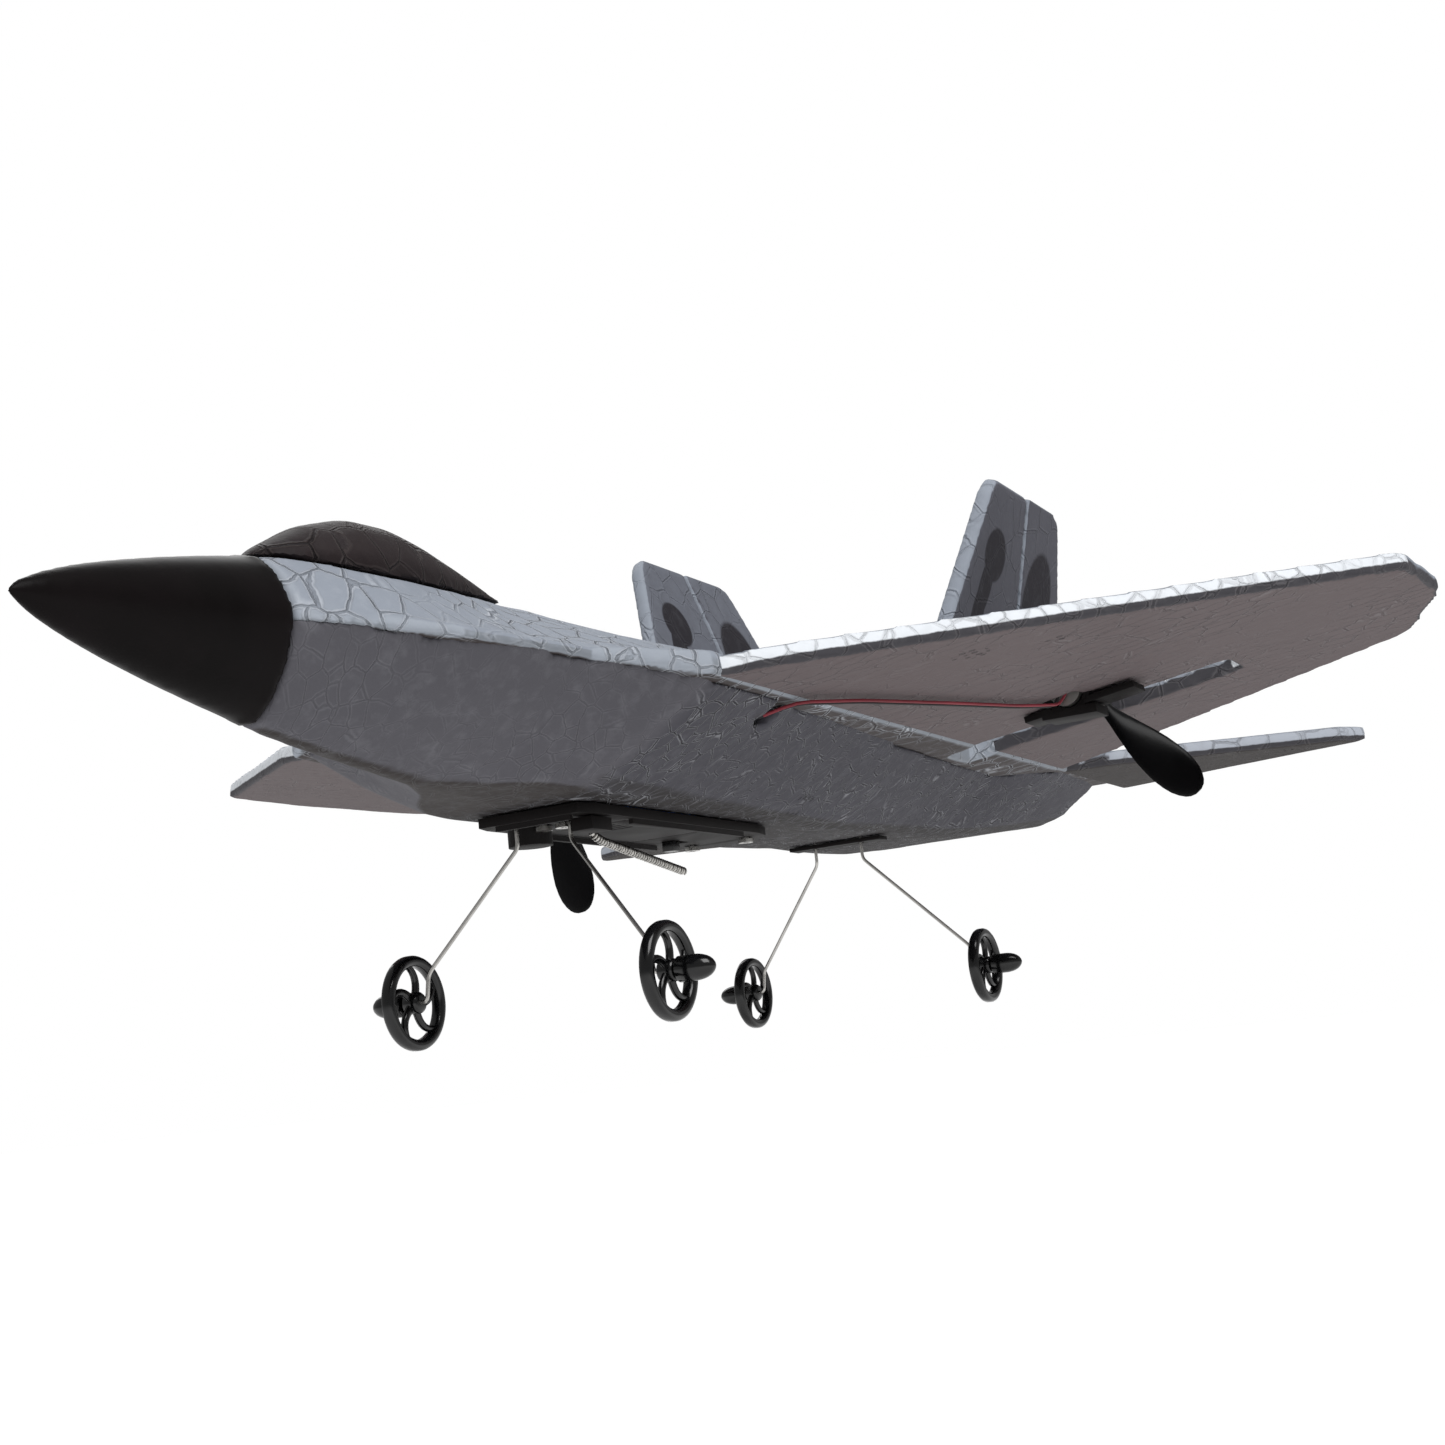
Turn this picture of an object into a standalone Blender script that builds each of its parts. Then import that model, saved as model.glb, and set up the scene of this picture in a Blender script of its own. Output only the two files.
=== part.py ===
"""Twin-pusher foam jet glider: moulded foam airframe, wire gear, two small motors.

Frame: +X port (left wing), -Y nose, +Z up, metres.  Origin on the ground plane under
the middle of the airframe.  Helper at(x, station, z) takes millimetres: the station is
counted aft from the nose tip and z from the airframe datum.
"""
import math

import bmesh
import bpy
from mathutils import Matrix, Vector

MM = 0.001
GAP = 0.3                   # gap between touching pieces

# Overall sizes, mm
LENGTH = 362.0              # nose tip to tailplane trailing edge
WHEEL_RADIUS = 8.75
AXLE_Z = -58.0              # axle height below the airframe datum
WHEEL_DROP = WHEEL_RADIUS - AXLE_Z   # airframe datum above the ground
SEAM = 45.3                 # station of the nose cone joint
TAIL = 345.0                # station of the tail end

# Wing sheet
WING_ROOT = 46.3            # half width of the centre deck
WING_TIP = 148.6            # half span
TIP_REAR = 239.4            # station where the tip edge turns in
DIHEDRAL = math.radians(8.66)
WING_BOTTOM = -17.27        # underside height carried in to the centre plane
SHEET = 3.9                 # wing foam thickness
STAB_SHEET = 4.0            # tailplane foam thickness
STAB_BOTTOM = -10.3

# Propellers and motors
PROP_X = 72.4
PROP_STATION = 246.5
PROP_Z = -4.0
PROP_RADIUS = 30.0
SLOT_FRONT = 238.5
SLOT_REAR = 253.0
SLOT_HALF = PROP_RADIUS + 4.0      # half width of the slot cut for the disc
MOTOR_RADIUS = 3.5
MOTOR_LENGTH = 19.0
MOTOR_FRONT = 220.4
NOTCH_HALF = MOTOR_RADIUS + 1.9    # half width of the motor notch
NOTCH_FRONT = 218.6
MOUNT_STATION = 226.5

# Fins
FIN_SHEET = 4.2
FIN_ROOT_X = 32.6
FIN_CANT = math.radians(16.4)
DECK_TOP = 0.3              # height of the flat beside the spine
HINGE_HALF = 0.45           # half of the scored hinge gap
HINGE_ROOT = 293.0          # station of the hinge line at the fin root
HINGE_TOP = 283.0           # and at the fin top
FIN_TOP = 59.6
FIN_FOOT = 6.0              # height of the fixed strip below the tab

# Landing gear
WIRE_RADIUS = 0.4
BORE_RADIUS = WIRE_RADIUS + 0.07   # running fit of a wheel on its wire axle
FRONT_TRACK = 27.0
FRONT_AXLE = 118.0
REAR_TRACK = 31.0
REAR_AXLE = 266.0

# Electronics tray
TRAY_TOP = -26.0
TRAY_BOTTOM = -27.8
BAY_HALF = 9.6
BAY_FRONT = 137.0
BAY_REAR = 172.0
BAY_ROOF = -15.0
SWITCH_TRAVEL = 2.0
SCREWS = ((-2.4, 128.6), (2.0, 128.6), (-6.5, 194.5), (6.5, 194.5))
BOSS = (-7.4, 131.5)
ANTENNA_FOOT = (4.6, 133.2)
HATCH_WIDE = 17.4
HATCH_LONG = 33.0
HATCH_MIDDLE = 156.0
SWITCH_X = -4.5
SWITCH_STATION = 182.0
SOCKET = (8.6, 127.6)


def clear_scene():
    for obj in list(bpy.data.objects):
        bpy.data.objects.remove(obj, do_unlink=True)


def at(x, station, z):
    """Point in metres from millimetres, a station and a datum height."""
    return Vector((x * MM, (station - LENGTH / 2) * MM, (z + WHEEL_DROP) * MM))


def new_collection(name):
    group = bpy.data.collections.new(name)
    bpy.context.scene.collection.children.link(group)
    return group


def material(name, colour, roughness, metallic=0.0):
    mat = bpy.data.materials.new(name)
    mat.use_nodes = True
    shader = mat.node_tree.nodes["Principled BSDF"]
    shader.inputs["Base Color"].default_value = (*colour, 1.0)
    shader.inputs["Roughness"].default_value = roughness
    shader.inputs["Metallic"].default_value = metallic
    mat.diffuse_color = (*colour, 1.0)
    return mat


def add_object(name, mesh, mat, group):
    obj = bpy.data.objects.new(name, mesh)
    group.objects.link(obj)
    if mat is not None:
        mesh.materials.append(mat)
    return obj


def mesh_from(bm, name):
    bmesh.ops.recalc_face_normals(bm, faces=bm.faces)
    mesh = bpy.data.meshes.new(name)
    bm.to_mesh(mesh)
    bm.free()
    return mesh


def loft(rings):
    """Closed body through rings of equal point count."""
    bm = bmesh.new()
    loops = [[bm.verts.new(point) for point in ring] for ring in rings]
    count = len(loops[0])
    for near, far in zip(loops, loops[1:]):
        for k in range(count):
            m = (k + 1) % count
            bm.faces.new((near[k], near[m], far[m], far[k]))
    bm.faces.new(loops[0])
    bm.faces.new(loops[-1])
    return bm


def slab(points, bottom, top):
    """Flat outline in millimetres raised from bottom to top."""
    bm = bmesh.new()
    ring = [bm.verts.new((x * MM, y * MM, bottom * MM)) for x, y in points]
    face = bm.faces.new(ring)
    raised = bmesh.ops.extrude_face_region(bm, geom=[face])["geom"]
    verts = [v for v in raised if isinstance(v, bmesh.types.BMVert)]
    bmesh.ops.translate(bm, verts=verts, vec=(0, 0, (top - bottom) * MM))
    return bm


def round_edges(bm, test, width, segments=2):
    """Bevel the edges whose two ends both pass the test."""
    edges = [e for e in bm.edges if test(e.verts[0].co, e.verts[1].co)]
    bmesh.ops.bevel(bm, geom=edges, offset=width * MM, segments=segments, profile=0.5,
                    affect="EDGES", material=-1, clamp_overlap=True)


def box_mesh(size, centre):
    bm = bmesh.new()
    bmesh.ops.create_cube(bm, size=1.0)
    bmesh.ops.scale(bm, verts=bm.verts, vec=[s * MM for s in size])
    bmesh.ops.translate(bm, verts=bm.verts, vec=centre)
    return bm


def rod_mesh(radius, length, centre, axis="Z", segments=24, radius2=None):
    """Cylinder or cone of a length along one axis."""
    bm = bmesh.new()
    end = radius if radius2 is None else radius2
    bmesh.ops.create_cone(bm, cap_ends=True, segments=segments, radius1=radius * MM,
                          radius2=end * MM, depth=length * MM)
    turn = {"X": Matrix.Rotation(math.pi / 2, 3, "Y"),
            "Y": Matrix.Rotation(-math.pi / 2, 3, "X"),
            "Z": Matrix.Identity(3)}[axis]
    bmesh.ops.rotate(bm, verts=bm.verts, matrix=turn, cent=(0, 0, 0))
    bmesh.ops.translate(bm, verts=bm.verts, vec=centre)
    return bm


def boolean(obj, bm, operation):
    """Apply a Boolean against a throwaway cutter and keep the result on the object."""
    cutter = add_object("cutter", mesh_from(bm, "cutter"), None, CUTTERS)
    cutter.hide_render = True
    cutter.display_type = "WIRE"
    mod = obj.modifiers.new("cut", "BOOLEAN")
    mod.operation = operation
    mod.solver = "EXACT"
    mod.object = cutter
    bpy.context.view_layer.update()
    graph = bpy.context.evaluated_depsgraph_get()
    result = bpy.data.meshes.new_from_object(obj.evaluated_get(graph))
    obj.modifiers.clear()
    old = obj.data
    obj.data = result
    bpy.data.meshes.remove(old)
    bpy.data.objects.remove(cutter, do_unlink=True)


def cut(obj, bm):
    boolean(obj, bm, "DIFFERENCE")


def join(obj, bm):
    boolean(obj, bm, "UNION")


def mirrored(name, source, mat, group):
    """Starboard copy of a port piece about the centre plane."""
    bm = bmesh.new()
    bm.from_mesh(source.data)
    bmesh.ops.transform(bm, matrix=source.matrix_basis, verts=bm.verts)
    bmesh.ops.scale(bm, verts=bm.verts, vec=(-1, 1, 1))
    bmesh.ops.reverse_faces(bm, faces=bm.faces)
    mesh = bpy.data.meshes.new(name)
    bm.to_mesh(mesh)
    bm.free()
    return add_object(name, mesh, mat, group)


def smooth(obj, angle=40):
    obj.data.shade_smooth()
    obj.data.set_sharp_from_angle(angle=math.radians(angle))


def place(obj, origin):
    """Move the object's origin to a point without moving its mesh in space."""
    obj.data.transform(Matrix.Translation(-origin))
    obj.location = origin


def wing_underside(x):
    return WING_BOTTOM + math.tan(DIHEDRAL) * abs(x)


# Canopy line per station: half width, lower edge height, top height
CANOPY = {
    50.0: (5.4, 8.0, 10.9),
    58.0: (8.6, 7.5, 15.3),
    68.0: (10.0, 7.4, 18.4),
    78.0: (9.7, 7.9, 18.9),
    86.0: (8.8, 8.5, 17.8),
    96.0: (7.0, 9.4, 15.7),
    104.0: (5.0, 10.3, 14.1),
    110.6: (3.2, 11.1, 12.9),
}

# Upper body per station: centre height, half-section points out to the deck edge, and
# the height of the joint with the lower body
UPPER = {
    45.6: (8.0, (4.0, 7.2), (6.5, 5.0), (8.5, 2.0), (9.7, -1.2), (10.2, -3.3), -3.8),
    50.0: (7.7, (5.4, 7.7), (8.2, 5.0), (10.2, 2.0), (11.6, -1.2), (12.6, -3.3), -4.0),
    58.0: (7.2, (8.6, 7.2), (10.7, 5.0), (12.8, 2.0), (14.8, -1.2), (16.5, -3.4), -4.4),
    68.0: (7.1, (10.0, 7.1), (12.6, 4.6), (15.5, 1.5), (19.0, -2.0), (24.5, -3.9), -5.9),
    78.0: (7.6, (9.7, 7.6), (12.8, 4.6), (16.0, 1.4), (20.0, -2.2), (27.2, -4.2), -6.2),
    86.0: (8.2, (8.8, 8.2), (12.4, 4.8), (16.2, 1.4), (20.5, -2.3), (28.8, -4.3), -6.3),
    96.0: (9.1, (7.0, 9.1), (10.8, 5.4), (16.0, 1.2), (21.5, -2.5), (30.6, -4.4), -6.6),
    104.0: (10.0, (5.0, 10.0), (10.2, 5.8), (17.0, 1.4), (25.0, -2.7), (38.4, -4.9), -8.0),
    110.6: (10.8, (3.6, 10.4), (10.2, 6.2), (18.5, 1.5), (29.0, -3.2), (45.3, -5.6), -9.9),
    116.4: (11.6, (4.0, 10.6), (11.0, 6.6), (20.5, 1.6), (31.0, -3.6), (45.3, -5.9), -10.4),
    125.0: (11.9, (4.6, 10.2), (12.0, 6.8), (22.5, 1.6), (34.0, -4.2), (45.3, -5.9), -10.5),
    150.0: (11.8, (7.0, 9.7), (14.0, 6.8), (27.0, 2.2), (37.0, -4.8), (45.3, -5.9), -10.8),
    190.0: (11.5, (10.0, 9.2), (20.0, 5.6), (33.5, 1.2), (39.0, -5.5), (45.3, -5.9), -11.2),
    225.0: (11.0, (14.0, 7.4), (25.0, 0.3), (38.0, 0.3), (40.6, -5.7), (45.3, -5.9), -11.5),
    255.0: (10.0, (14.0, 6.6), (25.0, 0.3), (38.0, 0.3), (40.6, -5.7), (45.3, -5.9), -11.8),
    278.0: (8.6, (13.5, 5.6), (25.0, 0.3), (38.0, 0.3), (40.6, -5.7), (45.3, -5.9), -12.0),
    300.0: (6.8, (13.0, 4.4), (25.0, 0.3), (38.0, 0.3), (40.6, -5.7), (45.3, -5.9), -10.4),
    306.0: (6.3, (12.5, 4.0), (25.0, 0.3), (38.0, 0.3), (40.6, -6.0), (45.7, -6.3), -10.3),
    330.0: (4.0, (11.0, 2.6), (25.0, 0.3), (38.0, 0.3), (40.6, -6.0), (45.7, -6.3), -10.3),
    345.0: (2.4, (10.0, 1.4), (25.0, 0.3), (37.0, 0.3), (40.6, -6.0), (45.7, -6.3), -10.3),
}

# Lower body per station: half-section points from the deck joint to the belly, and the
# belly height: a keeled forebody, then sloping intake trunks either side of a flat belly
LOWER = {
    45.6: ((10.1, -4.2), (8.4, -9.8), (4.8, -15.6), (1.8, -18.0), -18.4),
    50.0: ((12.3, -4.4), (9.4, -10.2), (5.2, -16.0), (1.8, -19.0), -19.3),
    58.0: ((16.2, -4.8), (11.8, -10.8), (7.0, -16.4), (1.8, -20.2), -20.4),
    68.0: ((22.5, -6.3), (16.0, -12.0), (9.0, -17.2), (1.8, -21.5), -21.7),
    78.0: ((26.6, -6.6), (18.8, -12.8), (10.4, -18.4), (1.8, -22.7), -22.9),
    86.0: ((28.6, -6.7), (20.4, -13.2), (11.6, -19.2), (1.8, -23.7), -23.9),
    96.0: ((30.4, -7.0), (22.8, -13.0), (14.8, -18.8), (6.4, -24.1), -24.5),
    104.0: ((37.0, -8.5), (25.7, -15.0), (19.8, -19.4), (13.2, -24.2), -24.9),
    110.6: ((42.6, -10.3), (31.0, -17.0), (21.6, -22.2), (16.4, -24.8), -25.5),
    116.4: ((44.6, -10.9), (32.8, -17.4), (21.0, -23.4), (15.0, -25.7), -25.7),
    125.0: ((44.6, -11.0), (32.8, -17.4), (20.8, -23.8), (15.0, -25.7), -25.7),
    150.0: ((42.8, -11.2), (31.6, -17.6), (20.2, -24.4), (15.0, -25.7), -25.7),
    190.0: ((40.2, -11.6), (29.8, -18.0), (19.2, -24.8), (15.0, -25.7), -25.7),
    225.0: ((38.2, -11.9), (28.6, -18.2), (18.6, -24.6), (14.0, -25.7), -25.7),
    255.0: ((36.2, -12.2), (27.6, -18.2), (19.0, -23.4), (15.0, -24.3), -24.3),
    278.0: ((35.2, -12.4), (27.4, -18.2), (20.6, -23.2), (15.0, -24.3), -24.3),
    300.0: ((45.0, -10.8), (33.0, -15.6), (24.6, -22.0), (16.0, -23.4), -23.4),
    306.0: ((45.4, -10.7), (34.0, -15.2), (25.4, -21.4), (17.0, -22.8), -22.8),
    330.0: ((44.0, -10.7), (36.0, -14.0), (28.6, -18.8), (22.0, -20.4), -20.4),
    345.0: ((41.0, -10.7), (36.4, -13.0), (30.4, -17.2), (24.0, -19.0), -19.0),
}


def seam_ring():
    """Half section at the nose joint, from the top centre round to the bottom."""
    top, *points, chine = UPPER[45.6]
    half = [(0.0, top + 0.3)] + [tuple(p) for p in points] + list(LOWER[45.6][1:4])
    half.append((0.0, LOWER[45.6][4]))
    return half


def nose_cone(mat, group):
    """Blunt-tipped cone whose sections shrink from the seam section to the tip."""
    half = seam_ring()
    ring = half + [(-x, z) for x, z in reversed(half[1:-1])]
    middle = -5.0
    rings = []
    for station in (0.0, 0.3, 1.0, 2.6, 5.6, 11.0, 18.0, 27.0, 36.0, SEAM):
        share = max((station / SEAM) ** 0.64, 0.02)
        rise = -4.8 + (middle + 4.8) * station / SEAM
        rings.append([at(x * share, station, rise + (z - middle) * share) for x, z in ring])
    obj = add_object("nose_cone", mesh_from(loft(rings), "nose_cone"), mat, group)
    smooth(obj, 30)
    return obj


def canopy(mat, group):
    rings = []
    lines = {46.4: (1.2, 8.3, 8.9)} | CANOPY | {115.6: (1.0, 11.95, 12.6)}
    for station, (half, edge, top) in sorted(lines.items()):
        arc = []
        for k in range(9):
            turn = math.pi * k / 8
            arc.append(at(half * math.cos(turn), station, edge + (top - edge) * math.sin(turn)))
        rings.append(arc)
    obj = add_object("canopy", mesh_from(loft(rings), "canopy"), mat, group)
    smooth(obj, 50)
    return obj


def fuselage_top(mat, group):
    """Spine, side strakes and centre deck."""
    rings = []
    for station, (top, *points, joint) in sorted(UPPER.items()):
        edge_x, edge_z = points[-1]
        out_x = 46.0 if edge_x > 45 else edge_x
        out_z = max(wing_underside(46.0), joint) if edge_x > 45 else joint + 0.05
        foot = min(LOWER[station][0][0], out_x - 0.4)
        half = [(0.0, top)] + points + [(out_x, out_z), (foot, joint)]
        ring = [at(x, station, z) for x, z in half]
        ring += [at(-x, station, z) for x, z in reversed(half[1:])]
        rings.append(ring)
    obj = add_object("fuselage_top", mesh_from(loft(rings), "fuselage_top"), mat, group)
    for side in (1, -1):
        centre = at(side * PROP_X, (SLOT_FRONT + SLOT_REAR) / 2, 0)
        cut(obj, box_mesh((2 * SLOT_HALF, SLOT_REAR - SLOT_FRONT, 60), centre))
    return obj


def fuselage_lower(mat, group):
    """Forebody sides, intake trunks and tail block, with the battery bay open below."""
    rings = []
    for station, (*points, belly) in sorted(LOWER.items()):
        ring = [at(x, station, z) for x, z in points] + [at(0, station, belly)]
        ring += [at(-x, station, z) for x, z in reversed(points)]
        rings.append(ring)
    obj = add_object("fuselage_lower", mesh_from(loft(rings), "fuselage_lower"), mat, group)
    depth = BAY_ROOF + 40
    cut(obj, box_mesh((2 * BAY_HALF, BAY_REAR - BAY_FRONT, depth),
                      at(0, (BAY_FRONT + BAY_REAR) / 2, BAY_ROOF - depth / 2)))
    for x, station in ((5.8, 124.5), (-5.8, 124.5), (6.1, 258.0), (-6.1, 258.0)):
        cut(obj, rod_mesh(0.9, 30, at(x, station, -32.0), segments=12))
    cut(obj, rod_mesh(1.6, 12, at(*ANTENNA_FOOT, -29.0), segments=16))
    for side in (1, -1):
        cut(obj, rod_mesh(2.2, 14, at(side * 40.5, 142.4, -12.6), "X", segments=16))
    cut(obj, box_mesh((30, 14, 11), at(0, TAIL, -14.5)))
    return obj


def wing_left(mat, group):
    """Swept sheet laid flat, rounded, then tilted up to the dihedral."""
    lean = math.cos(DIHEDRAL)
    outline = [(WING_ROOT, 111.2), (55.0, 118.4), (WING_TIP - 2.1, 208.3), (WING_TIP, TIP_REAR),
               (WING_TIP - 11.3, 271.6), (57.0, 300.0), (WING_ROOT, 303.5)]
    bm = slab([(x / lean, y - LENGTH / 2) for x, y in outline], 0.0, SHEET)
    inner = (WING_ROOT / lean + 0.2) * MM
    rear = (TIP_REAR + 1 - LENGTH / 2) * MM
    middle = SHEET / 2 * MM
    round_edges(bm, lambda a, b: abs(a.z - b.z) > 0.001 and a.x > 0.13, 2.4, 3)
    round_edges(bm, lambda a, b: min(a.z, b.z) > middle and max(a.x, b.x) > inner
                and max(a.y, b.y) < rear, 2.7, 3)
    round_edges(bm, lambda a, b: abs(a.z - b.z) < 0.0001 and max(a.x, b.x) > inner
                and (max(a.z, b.z) < 0.0001 or max(a.y, b.y) > rear), 0.7, 1)
    obj = add_object("wing_left", mesh_from(bm, "wing_left"), mat, group)
    obj.rotation_euler = (0, -DIHEDRAL, 0)
    obj.location = at(0, LENGTH / 2, WING_BOTTOM)
    bpy.context.view_layer.update()
    obj.data.transform(obj.matrix_basis)
    obj.matrix_basis = Matrix.Identity(4)
    middle = (SLOT_FRONT + SLOT_REAR) / 2
    cut(obj, box_mesh((2 * SLOT_HALF, SLOT_REAR - SLOT_FRONT, 60), at(PROP_X, middle, 0)))
    cut(obj, box_mesh((2 * NOTCH_HALF, 22, 60), at(PROP_X, NOTCH_FRONT + 11, 0)))
    return obj


def stab_left(mat, group):
    outline = [(WING_ROOT, 304.2), (57.0, 306.0), (110.0, 331.0), (115.0, 339.4),
               (WING_ROOT, LENGTH)]
    bm = slab([(x, y - LENGTH / 2) for x, y in outline], STAB_BOTTOM, STAB_BOTTOM + STAB_SHEET)
    inner = (WING_ROOT + 0.2) * MM
    round_edges(bm, lambda a, b: abs(a.z - b.z) < 0.0001 and max(a.x, b.x) > inner, 1.0, 2)
    obj = add_object("stab_left", mesh_from(bm, "stab_left"), mat, group)
    obj.location = (0, 0, WHEEL_DROP * MM)
    return obj


def fin_frame(obj):
    """Stand a slab drawn in stations and heights on the canted fin plane."""
    upright = Matrix.Rotation(FIN_CANT, 4, "Y")
    swap = Matrix(((0, 0, 1, 0), (1, 0, 0, 0), (0, 1, 0, 0), (0, 0, 0, 1)))
    obj.data.transform(Matrix.Translation(at(FIN_ROOT_X, LENGTH / 2, 0)) @ upright @ swap)


def hinge_station(height):
    return HINGE_ROOT + (HINGE_TOP - HINGE_ROOT) * height / FIN_TOP


def fin_left(mat, group):
    """Fixed fin with a root strip that runs on under the rudder."""
    gap = HINGE_HALF
    outline = [(234.4, -3.0), (257.4, 56.0), (260.8, FIN_TOP), (HINGE_TOP - gap, FIN_TOP),
               (hinge_station(FIN_FOOT) - gap, FIN_FOOT), (336.0, FIN_FOOT), (339.0, -3.0)]
    bm = slab([(y - LENGTH / 2, s) for y, s in outline], -FIN_SHEET / 2, FIN_SHEET / 2)
    front = (hinge_station(0) - 2 - LENGTH / 2) * MM
    round_edges(bm, lambda a, b: abs(a.z - b.z) < 1e-4 and a.x < front and b.x < front
                and max(a.y, b.y) > 0, 1.0, 2)
    obj = add_object("fin_left", mesh_from(bm, "fin_left"), mat, group)
    fin_frame(obj)
    cut(obj, box_mesh((60, 200, 30), at(FIN_ROOT_X, 280, DECK_TOP + GAP - 15)))
    return obj


def rudder_left(mat, group):
    """Trim tab behind the scored line; its origin is on the hinge line."""
    gap = HINGE_HALF
    low = FIN_FOOT + 0.6
    outline = [(hinge_station(low) + gap, low), (HINGE_TOP + gap, FIN_TOP), (304.5, FIN_TOP),
               (308.0, FIN_TOP - 1.2), (310.0, FIN_TOP - 4.5), (332.4, low)]
    bm = slab([(y - LENGTH / 2, s) for y, s in outline], -FIN_SHEET / 2, FIN_SHEET / 2)
    back = (hinge_station(0) + 2 - LENGTH / 2) * MM
    round_edges(bm, lambda a, b: abs(a.z - b.z) < 1e-4 and max(a.x, b.x) > back
                and max(a.y, b.y) > 0.008 and min(a.x, b.x) > back, 0.9, 2)
    obj = add_object("rudder_left", mesh_from(bm, "rudder_left"), mat, group)
    fin_frame(obj)
    return obj


def hinge_point(side):
    """A point on the rudder hinge line, halfway up."""
    height = FIN_TOP / 2
    x = FIN_ROOT_X + height * math.sin(FIN_CANT)
    return at(side * x, hinge_station(height), height * math.cos(FIN_CANT))


def undertray(mat, group):
    """Thin belly tray with ribs, a boss, a hatch window and a switch slot."""
    outline = [(-10.7, 119.5), (10.7, 119.5), (12, 124), (12, 190), (10.6, 196), (6.4, 201),
               (-6.4, 201), (-10.6, 196), (-12, 190), (-12, 124)]
    bm = slab([(x, y - LENGTH / 2) for x, y in outline], TRAY_BOTTOM, TRAY_TOP)
    obj = add_object("undertray", mesh_from(bm, "undertray"), mat, group)
    obj.data.transform(Matrix.Translation((0, 0, WHEEL_DROP * MM)))
    join(obj, box_mesh((1.0, 46, 1.4), at(10.4, 162, TRAY_BOTTOM - 0.2)))
    join(obj, box_mesh((1.0, 46, 1.4), at(-10.4, 162, TRAY_BOTTOM - 0.2)))
    join(obj, box_mesh((16, 1.0, 1.4), at(0, 121.4, TRAY_BOTTOM - 0.2)))
    join(obj, rod_mesh(4.2, 4.2, at(*BOSS, TRAY_BOTTOM - 1.1), segments=24))
    cut(obj, box_mesh((HATCH_WIDE + 2 * GAP, HATCH_LONG + 2 * GAP, 8),
                      at(0, HATCH_MIDDLE, TRAY_BOTTOM)))
    cut(obj, box_mesh((3.2, 7.2, 8), at(SWITCH_X, SWITCH_STATION + 1.0, TRAY_BOTTOM)))
    for x in (-5.8, 5.8):
        cut(obj, rod_mesh(0.8, 8, at(x, 124.5, TRAY_BOTTOM), segments=12))
    cut(obj, rod_mesh(1.3, 8, at(*ANTENNA_FOOT, TRAY_BOTTOM), segments=16))
    for x, station in SCREWS:
        cut(obj, rod_mesh(1.0, 8, at(x, station, TRAY_BOTTOM), segments=16))
    return obj


def battery_hatch(mat, group):
    """Flat cover over the cell, with grip grooves at its front end."""
    obj = add_object("battery_hatch", mesh_from(
        box_mesh((HATCH_WIDE, HATCH_LONG, 1.4), at(0, HATCH_MIDDLE, TRAY_BOTTOM + 0.7)),
        "battery_hatch"), mat, group)
    for k in range(4):
        cut(obj, box_mesh((9, 0.9, 0.8), at(0, 143.0 + 2.2 * k, TRAY_BOTTOM)))
    return obj


def battery(mat, group):
    bm = box_mesh((17, 28, 6.4), at(0, 156, -22.4))
    round_edges(bm, lambda a, b: abs(a.y - b.y) > 0.02, 1.2, 3)
    return add_object("battery", mesh_from(bm, "battery"), mat, group)


def receiver_board(mat, group):
    """Circuit board with its socket shell and two chips."""
    bm = box_mesh((18, 16, 1.0), at(0, 147.0, -16.0))
    obj = add_object("receiver_board", mesh_from(bm, "receiver_board"), mat, group)
    join(obj, box_mesh((5, 5, 1.6), at(-4, 146.0, -17.0)))
    join(obj, box_mesh((4, 3, 1.2), at(4, 149.0, -16.8)))
    return obj


def power_switch(mat, group):
    """Slider knob in the tray slot; it moves aft to switch on."""
    obj = add_object("power_switch", mesh_from(
        box_mesh((2.6, 3.0, 3.4), at(SWITCH_X, SWITCH_STATION - 0.8, TRAY_BOTTOM - 0.4)),
        "power_switch"), mat, group)
    place(obj, at(SWITCH_X, SWITCH_STATION - 0.8, TRAY_BOTTOM))
    return obj


def charge_socket(mat, group):
    """Small black shell on the tray with a rectangular mouth in its rear end."""
    x, station = SOCKET
    obj = add_object("charge_socket", mesh_from(
        box_mesh((4.4, 7.2, 2.4), at(x, station, TRAY_BOTTOM - GAP - 1.2)),
        "charge_socket"), mat, group)
    cut(obj, box_mesh((2.8, 5.0, 1.3), at(x, station + 3.0, TRAY_BOTTOM - GAP - 1.2)))
    return obj


def tray_screw(index, x, station, mat, group):
    """Cross-head screw: shank through the tray, pan head below it."""
    name = f"tray_screw_{index}"
    obj = add_object(name, mesh_from(
        rod_mesh(1.6, 0.8, at(x, station, TRAY_BOTTOM - GAP - 0.4), segments=20), name),
        mat, group)
    join(obj, rod_mesh(0.7, 2.2, at(x, station, TRAY_BOTTOM + 0.5), segments=12))
    for size in ((1.9, 0.4, 0.8), (0.4, 1.9, 0.8)):
        cut(obj, box_mesh(size, at(x, station, TRAY_BOTTOM - GAP - 0.8)))
    smooth(obj)
    return obj


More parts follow.
